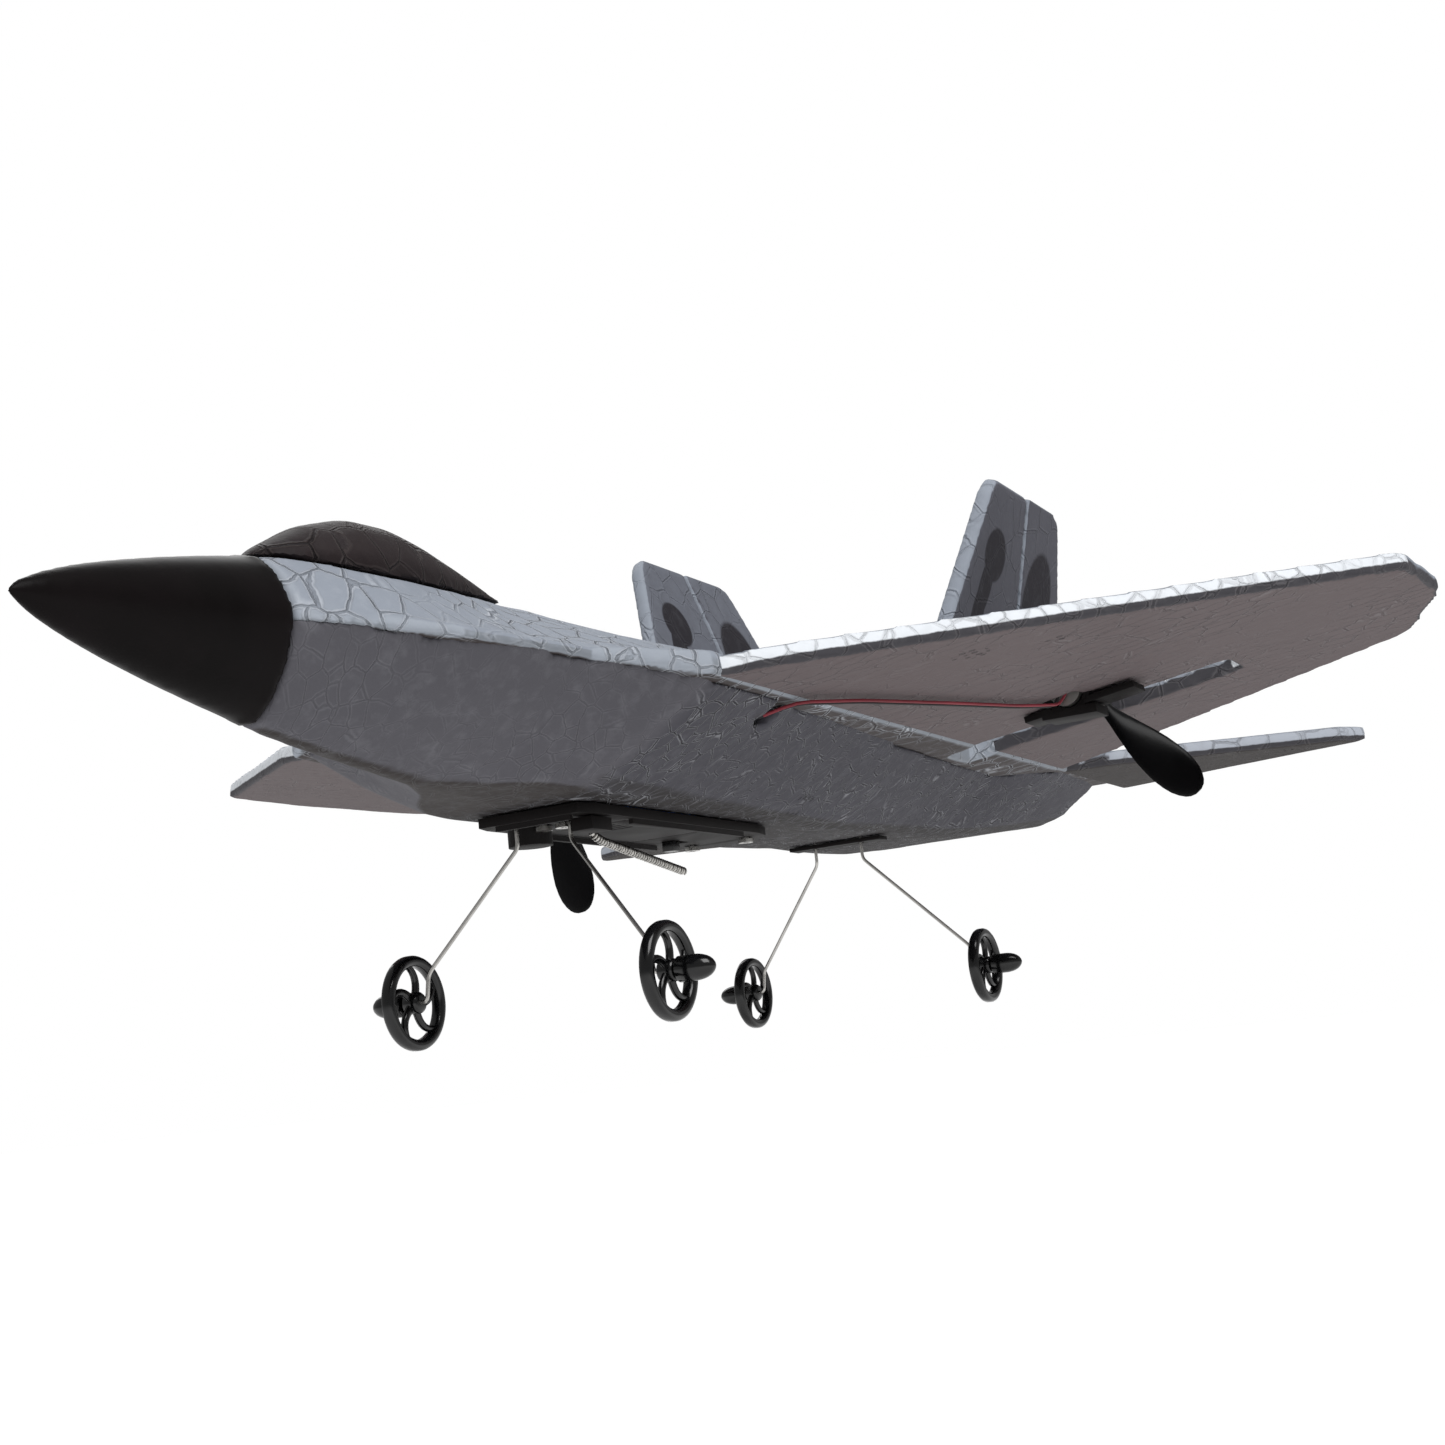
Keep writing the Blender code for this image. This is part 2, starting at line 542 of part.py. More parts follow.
def tube(name, points, radius, mat, group):
    """Round bar along a polyline, as a closed mesh."""
    curve = bpy.data.curves.new(name, "CURVE")
    curve.dimensions = "3D"
    curve.bevel_depth = radius * MM
    curve.bevel_resolution = 2
    curve.use_fill_caps = True
    line = curve.splines.new("POLY")
    line.points.add(len(points) - 1)
    for target, point in zip(line.points, points):
        target.co = (*point, 1.0)
    source = bpy.data.objects.new(name + "_path", curve)
    CUTTERS.objects.link(source)
    bpy.context.view_layer.update()
    graph = bpy.context.evaluated_depsgraph_get()
    mesh = bpy.data.meshes.new_from_object(source.evaluated_get(graph))
    bm = bmesh.new()
    bm.from_mesh(mesh)
    bmesh.ops.remove_doubles(bm, verts=bm.verts, dist=0.000005)
    bpy.data.meshes.remove(mesh)
    bpy.data.objects.remove(source, do_unlink=True)
    obj = add_object(name, mesh_from(bm, name), mat, group)
    smooth(obj, 50)
    return obj


def arc_points(path, radius, steps=3):
    """Polyline with its inner corners rounded."""
    out = [path[0]]
    for a, b, c in zip(path, path[1:], path[2:]):
        reach = min(radius * MM, (a - b).length * 0.45, (c - b).length * 0.45)
        start = b + (a - b).normalized() * reach
        end = b + (c - b).normalized() * reach
        for k in range(steps + 1):
            t = k / steps
            out.append(start * (1 - t) ** 2 + b * 2 * t * (1 - t) + end * t ** 2)
    out.append(path[-1])
    return out


def gear_leg(name, side, exit_x, station, exit_z, track, axle, mat, group):
    """Spring wire: down from the belly, splayed out, then bent into the axle."""
    path = [at(side * exit_x, station, exit_z + 7.0), at(side * exit_x, station, exit_z - 4.0),
            at(side * (track - 3.4), axle + 0.4, AXLE_Z + 5.0),
            at(side * (track - 3.0), axle, AXLE_Z), at(side * (track + 6.2), axle, AXLE_Z)]
    return tube(name, arc_points(path, 1.0), WIRE_RADIUS, mat, group)


def wheel(name, side, track, axle, mat, group):
    """Rim, five swept spokes and a bored hub; the origin is on the axle."""
    centre = Vector((0, 0, 0))
    bm = bmesh.new()
    section = [(WHEEL_RADIUS, -0.7), (WHEEL_RADIUS, 0.7), (WHEEL_RADIUS - 0.6, 1.25),
               (WHEEL_RADIUS - 1.7, 1.25), (WHEEL_RADIUS - 2.1, 0.8),
               (WHEEL_RADIUS - 2.1, -0.8), (WHEEL_RADIUS - 1.7, -1.25),
               (WHEEL_RADIUS - 0.6, -1.25)]
    verts = [bm.verts.new((x * MM, 0, r * MM)) for r, x in section]
    edges = [bm.edges.new((a, b)) for a, b in zip(verts, verts[1:] + verts[:1])]
    bmesh.ops.spin(bm, geom=verts + edges, cent=(0, 0, 0), axis=(1, 0, 0),
                   angle=math.tau, steps=30, use_merge=True)
    obj = add_object(name, mesh_from(bm, name), mat, group)
    for k in range(5):
        turn = math.tau * k / 5
        points = []
        for step in range(4):
            t = step / 3
            reach = 1.2 + t * (WHEEL_RADIUS - 2.9)
            angle = turn + 0.55 * t * t
            points.append(Vector((0, math.cos(angle) * reach, math.sin(angle) * reach)) * MM)
        rings = []
        for step, point in enumerate(points):
            ahead = points[min(step + 1, 3)] - points[max(step - 1, 0)]
            across = Vector((1, 0, 0)).cross(ahead).normalized()
            w = (0.95 - 0.12 * step) * MM
            d = 0.62 * MM
            rings.append([point + across * w + Vector((d, 0, 0)),
                          point - across * w + Vector((d, 0, 0)),
                          point - across * w - Vector((d, 0, 0)),
                          point + across * w - Vector((d, 0, 0))])
        join(obj, loft(rings))
    join(obj, rod_mesh(2.0, 3.4, centre, "X", segments=20))
    cut(obj, rod_mesh(BORE_RADIUS, 6.0, centre, "X", segments=16))
    smooth(obj)
    obj.location = at(side * track, axle, AXLE_Z)
    return obj


def hub_cap(name, side, track, axle, mat, group):
    """Bullet-shaped retainer pushed over the wire end outboard of the wheel."""
    bm = bmesh.new()
    profile = [(2.3, 0.0), (2.3, 3.4), (2.1, 5.0), (1.6, 6.2), (0.8, 6.9), (0.0, 7.1)]
    verts = [bm.verts.new((x * MM, 0, r * MM)) for r, x in [(0.0, 0.0)] + profile]
    edges = [bm.edges.new((a, b)) for a, b in zip(verts, verts[1:])]
    bmesh.ops.spin(bm, geom=verts + edges, cent=(0, 0, 0), axis=(1, 0, 0),
                   angle=math.tau, steps=20, use_merge=True)
    bmesh.ops.remove_doubles(bm, verts=bm.verts, dist=0.00001)
    obj = add_object(name, mesh_from(bm, name), mat, group)
    cut(obj, rod_mesh(0.7, 9.6, Vector((0, 0, 0)), "X", segments=12))
    if side < 0:
        obj.data.transform(Matrix.Scale(-1, 4, (1, 0, 0)))
        obj.data.flip_normals()
    smooth(obj)
    obj.location = at(side * (track + 2.0), axle, AXLE_Z)
    return obj


def motor_mount(mat, group):
    """Collar around the can with two flanges screwed flat to the wing underside."""
    bm = rod_mesh(NOTCH_HALF - GAP, 9.0, at(PROP_X, MOUNT_STATION, PROP_Z), "Y", segments=24)
    obj = add_object("motor_mount_left", mesh_from(bm, "motor_mount_left"), mat, group)
    tilt = Matrix.Rotation(-DIHEDRAL, 3, "Y")
    for x0, x1, length in ((62.4, 68.6, 9.0), (75.2, 87.0, 9.0)):
        middle = (x0 + x1) / 2
        spot = at(middle, MOUNT_STATION, wing_underside(middle) - GAP - 0.7)
        plate = box_mesh((x1 - x0, length, 1.4), Vector((0, 0, 0)))
        bmesh.ops.rotate(plate, verts=plate.verts, matrix=tilt, cent=(0, 0, 0))
        bmesh.ops.translate(plate, verts=plate.verts, vec=spot)
        join(obj, plate)
    join(obj, box_mesh((12.0, 9.0, 2.0), at(PROP_X, MOUNT_STATION, -8.6)))
    cut(obj, rod_mesh(MOTOR_RADIUS + GAP, 30, at(PROP_X, MOUNT_STATION, PROP_Z), "Y",
                      segments=24))
    smooth(obj)
    return obj


def motor(mat, group):
    """Motor can with a raised bearing boss and a shaft hole at its rear end."""
    middle = MOTOR_FRONT + MOTOR_LENGTH / 2
    rear = MOTOR_FRONT + MOTOR_LENGTH
    bm = rod_mesh(MOTOR_RADIUS, MOTOR_LENGTH, at(PROP_X, middle, PROP_Z), "Y", segments=24)
    obj = add_object("motor_left", mesh_from(bm, "motor_left"), mat, group)
    join(obj, rod_mesh(1.3, 1.6, at(PROP_X, rear + 0.5, PROP_Z), "Y", segments=16))
    cut(obj, rod_mesh(0.57, 8.0, at(PROP_X, rear - 1.0, PROP_Z), "Y", segments=16))
    smooth(obj)
    return obj


def blade_rings(turn):
    """Paddle blade sections along one radius, twisted from root to tip."""
    rings = []
    outline = ((1.2, 1.6, 1.5), (5.0, 2.2, 1.0), (10.0, 3.5, 0.75), (16.0, 4.7, 0.6),
               (21.5, 5.0, 0.5), (26.0, 4.3, 0.42), (28.8, 2.8, 0.34), (PROP_RADIUS, 1.1, 0.26))
    for reach, half, thick in outline:
        pitch = math.radians(40 - 24 * reach / PROP_RADIUS)
        ring = []
        for k in range(10):
            a = math.tau * k / 10
            chord = half * math.cos(a)
            depth = thick * math.sin(a)
            y = chord * math.sin(pitch) + depth * math.cos(pitch)
            c = chord * math.cos(pitch) - depth * math.sin(pitch)
            x = reach * math.cos(turn) - c * math.sin(turn)
            z = reach * math.sin(turn) + c * math.cos(turn)
            ring.append(Vector((x, y, z)) * MM)
        rings.append(ring)
    return rings


def propeller(name, side, turn, mat, group):
    """Two-blade pusher on a round hub with its shaft; the origin is on the shaft axis."""
    hub = rod_mesh(2.3, 5.6, Vector((0, 0, 0)), "Y", segments=24)
    obj = add_object(name, mesh_from(hub, name), mat, group)
    for k in range(2):
        join(obj, loft(blade_rings(turn + math.pi * k)))
    join(obj, rod_mesh(0.5, 6.0, Vector((0, -5.0 * MM, 0)), "Y", segments=16))
    smooth(obj, 50)
    obj.location = at(side * PROP_X, PROP_STATION, PROP_Z)
    return obj


def lead(name, side, offset, mat, group):
    """Thin motor lead from the body side along the wing underside to the motor."""
    path = []
    for x, station in ((38.0, 142.2), (45.0, 142.6), (51.6, 158.0), (59.6, 185.0),
                       (66.0, 208.0), (70.8, 219.4)):
        z = wing_underside(x) - GAP - 0.5 - (0.3 if x < 44 else 0.0)
        path.append(at(side * (x + offset), station - offset * 0.6, z))
    path.append(at(side * (PROP_X + offset), NOTCH_FRONT + 1.1, PROP_Z - 0.6))
    return tube(name, arc_points(path, 3.0, 2), 0.45, mat, group)


def rear_gear_plate(mat, group):
    """Strip glued on the belly that clamps the two rear wires."""
    obj = add_object("rear_gear_plate", mesh_from(
        box_mesh((24, 5, 0.9), at(0, 258.0, -25.05)), "rear_gear_plate"), mat, group)
    for side in (1, -1):
        cut(obj, rod_mesh(0.8, 6, at(side * 6.1, 258.0, -25.0), segments=12))
    return obj


def antenna(mat, group):
    """Sprung whip: a stub out of the tray, then a long tail swept aft."""
    x, station = ANTENNA_FOOT
    path = [at(x, station, -24.0), at(x, station + 0.4, -29.6), at(x, station + 4.6, -31.4),
            at(x + 0.4, station + 35.0, -36.0)]
    return tube("antenna", arc_points(path, 2.0), 0.9, mat, group)


CUTTERS = None


def main():
    global CUTTERS
    clear_scene()
    group = new_collection("foam_jet")
    CUTTERS = new_collection("cutters")

    foam_top = material("foam_top", (0.27, 0.30, 0.34), 0.75)
    foam_under = material("foam_under", (0.12, 0.12, 0.13), 0.75)
    foam_wing = material("foam_wing", (0.14, 0.135, 0.14), 0.75)
    foam_fin = material("foam_fin", (0.13, 0.135, 0.16), 0.7)
    nose_black = material("nose_black", (0.012, 0.011, 0.012), 0.4)
    canopy_black = material("canopy_black", (0.022, 0.018, 0.02), 0.5)
    tray_black = material("tray_black", (0.02, 0.018, 0.02), 0.4)
    prop_black = material("prop_black", (0.006, 0.006, 0.007), 0.3)
    wheel_black = material("wheel_black", (0.008, 0.008, 0.009), 0.25)
    steel = material("wire_steel", (0.62, 0.61, 0.59), 0.25, 1.0)
    can_metal = material("can_metal", (0.5, 0.5, 0.5), 0.3, 1.0)
    cell_wrap = material("cell_wrap", (0.05, 0.12, 0.35), 0.35)
    board_green = material("board_green", (0.01, 0.09, 0.03), 0.4)
    lead_red = material("lead_red", (0.5, 0.05, 0.07), 0.4)
    lead_black = material("lead_black", (0.012, 0.012, 0.012), 0.4)

    nose_cone(nose_black, group)
    canopy(canopy_black, group)
    fuselage_top(foam_top, group)
    fuselage_lower(foam_under, group)

    mirrored("wing_right", wing_left(foam_wing, group), foam_wing, group)
    mirrored("stab_right", stab_left(foam_wing, group), foam_wing, group)
    mirrored("fin_right", fin_left(foam_fin, group), foam_fin, group)
    rudder = rudder_left(foam_fin, group)
    other = mirrored("rudder_right", rudder, foam_fin, group)
    place(rudder, hinge_point(1))
    place(other, hinge_point(-1))

    undertray(tray_black, group)
    battery_hatch(tray_black, group)
    battery(cell_wrap, group)
    receiver_board(board_green, group)
    power_switch(prop_black, group)
    charge_socket(tray_black, group)
    antenna(steel, group)
    for index, (x, station) in enumerate(SCREWS, 1):
        tray_screw(index, x, station, steel, group)
    rear_gear_plate(tray_black, group)

    mirrored("motor_mount_right", motor_mount(tray_black, group), tray_black, group)
    mirrored("motor_right", motor(can_metal, group), can_metal, group)
    propeller("prop_left", 1, math.radians(-50), prop_black, group)
    propeller("prop_right", -1, math.radians(-80), prop_black, group)

    for side, tag in ((1, "left"), (-1, "right")):
        lead(f"lead_red_{tag}", side, 0.75, lead_red, group)
        lead(f"lead_black_{tag}", side, -0.75, lead_black, group)
        gear_leg(f"front_leg_{tag}", side, 5.8, 124.5, -27.8, FRONT_TRACK, FRONT_AXLE,
                 steel, group)
        gear_leg(f"rear_leg_{tag}", side, 6.1, 258.0, -25.4, REAR_TRACK, REAR_AXLE,
                 steel, group)
        wheel(f"wheel_front_{tag}", side, FRONT_TRACK, FRONT_AXLE, wheel_black, group)
        wheel(f"wheel_rear_{tag}", side, REAR_TRACK, REAR_AXLE, wheel_black, group)
        hub_cap(f"hub_cap_front_{tag}", side, FRONT_TRACK, FRONT_AXLE, prop_black, group)
        hub_cap(f"hub_cap_rear_{tag}", side, REAR_TRACK, REAR_AXLE, prop_black, group)


main()
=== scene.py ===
"""Looks of a foam jet trainer: painted bead-foam airframe, wire gear, pusher props.

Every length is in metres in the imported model's frame: +Z up, nose towards -Y.
"""

import logging
import math
from dataclasses import dataclass, field
from enum import Enum

import bmesh
import bpy
from mathutils import Matrix, Vector, noise


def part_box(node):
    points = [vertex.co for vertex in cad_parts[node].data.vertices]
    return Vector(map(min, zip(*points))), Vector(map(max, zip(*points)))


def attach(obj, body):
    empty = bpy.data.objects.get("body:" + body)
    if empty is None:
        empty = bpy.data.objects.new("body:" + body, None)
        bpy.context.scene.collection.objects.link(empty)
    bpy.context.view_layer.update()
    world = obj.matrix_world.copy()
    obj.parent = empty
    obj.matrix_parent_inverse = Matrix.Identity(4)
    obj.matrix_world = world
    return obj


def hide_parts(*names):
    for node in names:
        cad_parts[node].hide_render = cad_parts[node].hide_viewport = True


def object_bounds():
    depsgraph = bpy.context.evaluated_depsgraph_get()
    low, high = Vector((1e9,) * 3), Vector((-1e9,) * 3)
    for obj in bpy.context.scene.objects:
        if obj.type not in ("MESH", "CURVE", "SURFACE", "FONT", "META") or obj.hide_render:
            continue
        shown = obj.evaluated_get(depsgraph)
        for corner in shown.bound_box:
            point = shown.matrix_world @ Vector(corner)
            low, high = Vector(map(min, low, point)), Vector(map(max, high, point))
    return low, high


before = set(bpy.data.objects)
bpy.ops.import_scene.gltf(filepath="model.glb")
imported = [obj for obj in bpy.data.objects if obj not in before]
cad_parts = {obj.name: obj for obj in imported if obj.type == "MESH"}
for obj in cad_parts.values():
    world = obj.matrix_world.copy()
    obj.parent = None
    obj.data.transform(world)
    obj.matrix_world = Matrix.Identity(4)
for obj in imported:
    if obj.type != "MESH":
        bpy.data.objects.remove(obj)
CAD_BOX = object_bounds()
LOG = logging.getLogger("foam_jet")
MM = 0.001
WELD = 0.000002             # points nearer than this are one point
FIRST_ACROSS = (0.137, 0.211, 0.967)  # not along any tube, so a frame can start from it


class Side(Enum):
    """Side of the aeroplane, as the sign of X."""

    LEFT = 1
    RIGHT = -1

    @property
    def word(self) -> str:
        """Name used in node names."""
        return self.name.lower()


# ---------------------------------------------------------------- shader helpers


def srgb(code: str) -> tuple[float, float, float, float]:
    """Turn an sRGB hex colour to linear RGBA.

    Args:
        code: Six hex digits, with or without a leading hash.

    Returns:
        Linear red, green, blue and an alpha of one.
    """
    code = code.lstrip("#")
    out = []
    for start in (0, 2, 4):
        value = int(code[start:start + 2], 16) / 255
        out.append(value / 12.92 if value <= 0.04045 else ((value + 0.055) / 1.055) ** 2.4)
    return out[0], out[1], out[2], 1.0


def add_node(tree: bpy.types.NodeTree, kind: str, links: dict | None = None,
             values: dict | None = None, **settings: object) -> bpy.types.Node:
    """Add one node, set it up and link it.

    Args:
        tree: Node tree that gets the node.
        kind: Node type without the ShaderNode prefix.
        links: Input socket (name or index) to the output socket that feeds it.
        values: Input socket (name or index) to a fixed value.
        settings: Properties set on the node itself.

    Returns:
        The new node.
    """
    node = tree.nodes.new("ShaderNode" + kind)
    for key, value in settings.items():
        setattr(node, key, value)
    for key, value in (values or {}).items():
        node.inputs[key].default_value = value
    for key, source in (links or {}).items():
        tree.links.new(source, node.inputs[key])
    return node


def ramp_stops(node: bpy.types.Node, stops: list[tuple[float, float]]) -> bpy.types.Node:
    """Set the grey stops of a colour ramp.

    Args:
        node: Colour ramp node.
        stops: Position and grey value of each stop.

    Returns:
        The same node.
    """
    ramp = node.color_ramp
    while len(ramp.elements) < len(stops):
        ramp.elements.new(1.0)
    for element, (position, grey) in zip(ramp.elements, stops):
        element.position = position
        element.color = (grey, grey, grey, 1.0)
    return node


def mix_colours(tree: bpy.types.NodeTree, share: object, low: object,
                high: object, blend: str = "MIX") -> bpy.types.NodeSocket:
    """Mix two colours, each a socket or a hex code.

    Args:
        tree: Node tree that gets the node.
        share: How much of the second colour shows, a socket or a number.
        low: Colour where the share is zero.
        high: Colour where the share is one.
        blend: Blend mode.

    Returns:
        The mixed colour's socket.
    """
    links, values = {}, {}
    for index, colour in ((0, share), (6, low), (7, high)):
        if isinstance(colour, float):
            values[index] = colour
        elif isinstance(colour, str):
            values[index] = srgb(colour)
        else:
            links[index] = colour
    node = add_node(tree, "Mix", links, values, data_type="RGBA", blend_type=blend)
    return node.outputs[2]


def maths(tree: bpy.types.NodeTree, operation: str, first: object,
          second: object = 0.0, third: object = 0.0) -> bpy.types.NodeSocket:
    """Add a maths node whose inputs are sockets or numbers.

    Args:
        tree: Node tree that gets the node.
        operation: Maths operation name.
        first: First input.
        second: Second input.
        third: Third input, for the operations that have one.

    Returns:
        The result's socket.
    """
    links, values = {}, {}
    for index, value in enumerate((first, second, third)):
        if isinstance(value, (int, float)):
            values[index] = value
        else:
            links[index] = value
    return add_node(tree, "Math", links, values, operation=operation).outputs[0]


def new_material(name: str) -> tuple[bpy.types.Material, bpy.types.NodeTree, bpy.types.Node]:
    """Make a material with a Principled shader.

    Args:
        name: Material name.

    Returns:
        The material, its node tree and its shader node.
    """
    mat = bpy.data.materials.new(name)
    mat.use_nodes = True
    return mat, mat.node_tree, mat.node_tree.nodes["Principled BSDF"]


# ---------------------------------------------------------------------- finishes


@dataclass(frozen=True)
class Blob:
    """Dark painted patch on a fin, an ellipse drawn in side view."""

    station: float
    height: float
    half_long: float
    half_high: float
    tilt: float = 0.0


@dataclass(frozen=True)
class BeadFoam:
    """Spray-painted moulded EPP bead foam.

    To the eye: soft dull paint, a fine network of cracked bead edges that catch the
    light and small clusters of mould vent dots. Painted light on top of that: a
    lighter top and a darker underside, as light from above falls, and a painted
    highlight along forward-facing edges.
    """

    name: str
    # Painted light: top is the lit colour of upward faces, under the shaded colour of downward
    # faces and front a painted highlight on forward-facing edges.
    top: str = "#9aa1ac"
    side: str = "#626268"
    under: str = "#575250"
    front: str = "#c3c8d0"
    line: str = "#a3a6ab"
    bead: float = 6.0
    stretch: tuple[float, float, float] = (1.0, 1.0, 1.0)
    line_share: float = 0.5
    crack_share: float = 0.3
    aft: str = "#ffffff"
    vents: float = 1.0
    calm_to: float = -400.0
    swept: bool = False
    highlight_line: float = 0.0
    rise: float = 0.0
    relief: float = 0.5
    roughness: float = 0.62
    blobs: tuple[Blob, ...] = ()
    blob_colour: str = "#322f33"

    def cells(self, tree: bpy.types.NodeTree, coords: bpy.types.NodeSocket,
              size: float) -> bpy.types.NodeSocket:
        """Distance to the nearest bead edge.

        Args:
            tree: Node tree.
            coords: Warped position socket.
            size: Bead size in millimetres.

        Returns:
            Distance socket, in bead sizes.
        """
        edge = add_node(tree, "TexVoronoi", {"Vector": coords},
                        {"Scale": 1000 / size, "Randomness": 1.0},
                        feature="DISTANCE_TO_EDGE")
        return edge.outputs["Distance"]

    def vent_dots(self, tree: bpy.types.NodeTree,
                  coords: bpy.types.NodeSocket) -> bpy.types.NodeSocket:
        """Clusters of vent dots, each cluster about 7 mm across, some 40 mm apart.

        Args:
            tree: Node tree.
            coords: Object position socket.

        Returns:
            Socket that is one in a dot and zero elsewhere.
        """
        patch = add_node(tree, "TexVoronoi", {"Vector": coords},
                         {"Scale": 1000 / 42, "Randomness": 0.8}, feature="F1")
        near = maths(tree, "LESS_THAN", patch.outputs["Distance"], 0.11)
        dot = add_node(tree, "TexVoronoi", {"Vector": coords},
                       {"Scale": 1000 / 2.1, "Randomness": 0.35}, feature="F1")
        spot = add_node(tree, "ValToRGB", {0: dot.outputs["Distance"]})
        ramp_stops(spot, [(0.0, 1.0), (0.2, 1.0), (0.34, 0.0)])
        return maths(tree, "MULTIPLY", near, spot.outputs[0])

    def above_edge(self, tree: bpy.types.NodeTree, coords: bpy.types.NodeSocket,
                   ragged: bpy.types.NodeSocket) -> bpy.types.NodeSocket:
        """Mask above the ragged line that bounds the painted highlight along a leading edge.

        Args:
            tree: Node tree.
            coords: Object position socket.
            ragged: Noise that roughens the line.

        Returns:
            Socket that is one above the line.
        """
        parts = add_node(tree, "SeparateXYZ", {0: coords}).outputs
        sheet = maths(tree, "MULTIPLY", maths(tree, "ABSOLUTE", parts[0]), self.rise)
        height = maths(tree, "SUBTRACT", parts[2], sheet)
        height = maths(tree, "MULTIPLY_ADD", ragged, 0.004, height)
        line = self.highlight_line * MM
        return add_node(tree, "MapRange", {"Value": height},
                        {"From Min": line, "From Max": line + 0.25 * MM}).outputs[0]

    def blob_mask(self, tree: bpy.types.NodeTree,
                  coords: bpy.types.NodeSocket) -> bpy.types.NodeSocket:
        """Mask of all the painted patches.

        Args:
            tree: Node tree.
            coords: Object position socket.

        Returns:
            Socket that is one inside a patch.
        """
        total: object = 0.0
        for blob in self.blobs:
            shift = add_node(tree, "Mapping", {"Vector": coords}, vector_type="TEXTURE")
            shift.inputs["Location"].default_value = (0, blob.station * MM, blob.height * MM)
            shift.inputs["Rotation"].default_value = (math.radians(blob.tilt), 0, 0)
            shift.inputs["Scale"].default_value = (1e4, blob.half_long * MM,
                                                   blob.half_high * MM)
            away = add_node(tree, "VectorMath", {0: shift.outputs[0]}, operation="LENGTH")
            inside = add_node(tree, "MapRange", {"Value": away.outputs["Value"]},
                              {"From Min": 1.06, "From Max": 0.96})
            total = maths(tree, "MAXIMUM", total, inside.outputs[0])
        return total

    def build(self) -> bpy.types.Material:
        """Build the foam paint's node tree."""
        mat, tree, shader = new_material(self.name)
        where = add_node(tree, "TexCoord").outputs
        coords, normal = where["Object"], where["Normal"]
        warp = add_node(tree, "TexNoise", {"Vector": coords},
                        {"Scale": 1000 / 9, "Detail": 4.0, "Roughness": 0.6})
        pushed = add_node(tree, "VectorMath", {0: warp.outputs["Color"], 2: coords},
                          {1: (0.0024, 0.0024, 0.0024)}, operation="MULTIPLY_ADD")
        scaled = add_node(tree, "Mapping", {"Vector": pushed.outputs[0]},
                          {"Scale": self.stretch})
        away = self.cells(tree, scaled.outputs[0], self.bead)
        lips = ramp_stops(add_node(tree, "ValToRGB", {0: away}),
                          [(0.0, 0.0), (0.022, 0.2), (0.05, 1.0), (0.09, 0.0)])
        cracks = ramp_stops(add_node(tree, "ValToRGB", {0: away}),
                            [(0.0, 1.0), (0.015, 0.7), (0.034, 0.0)])
        patchy = add_node(tree, "TexNoise", {"Vector": coords},
                          {"Scale": 1000 / 26, "Detail": 4.0, "Roughness": 0.6})
        show = ramp_stops(add_node(tree, "ValToRGB", {0: patchy.outputs["Fac"]}),
                          [(0.36, 0.12), (0.56, 1.0)])
        along = add_node(tree, "SeparateXYZ", {0: coords}).outputs[1]
        calm = add_node(tree, "MapRange", {"Value": along},
                        {"From Min": self.calm_to * MM - 0.004, "From Max": self.calm_to * MM,
                         "To Min": 0.18})
        shown = maths(tree, "MULTIPLY", show.outputs[0], calm.outputs[0])
        lines = maths(tree, "MULTIPLY", lips.outputs[0], shown)
        grooves = maths(tree, "MULTIPLY", cracks.outputs[0], shown)
        dust_and_light_edge = add_node(tree, "TexNoise", {"Vector": coords},
                        {"Scale": 1000 / 3.2, "Detail": 6.0, "Roughness": 0.65})
        split = add_node(tree, "SeparateXYZ", {0: normal}).outputs
        ragged = maths(tree, "MULTIPLY_ADD", dust_and_light_edge.outputs["Fac"], 0.16, -0.08)
        up = maths(tree, "ADD", split[2], ragged)
        ahead = maths(tree, "ADD", split[1], ragged)
        if self.swept:
            outward = maths(tree, "ABSOLUTE", split[0])
            ahead = maths(tree, "MULTIPLY_ADD", maths(tree, "MULTIPLY", split[1], outward),
                          2.6, ragged)
        # Painted light: faces that point up get the lit top colour and faces that point down the
        # shaded under colour.
        lit_top_share = add_node(tree, "MapRange", {"Value": up}, {"From Min": 0.12, "From Max": 0.3})
        down = maths(tree, "MULTIPLY_ADD", ragged, 0.25, split[2])
        below = add_node(tree, "MapRange", {"Value": down},
                         {"From Min": -0.9, "From Max": -0.97})
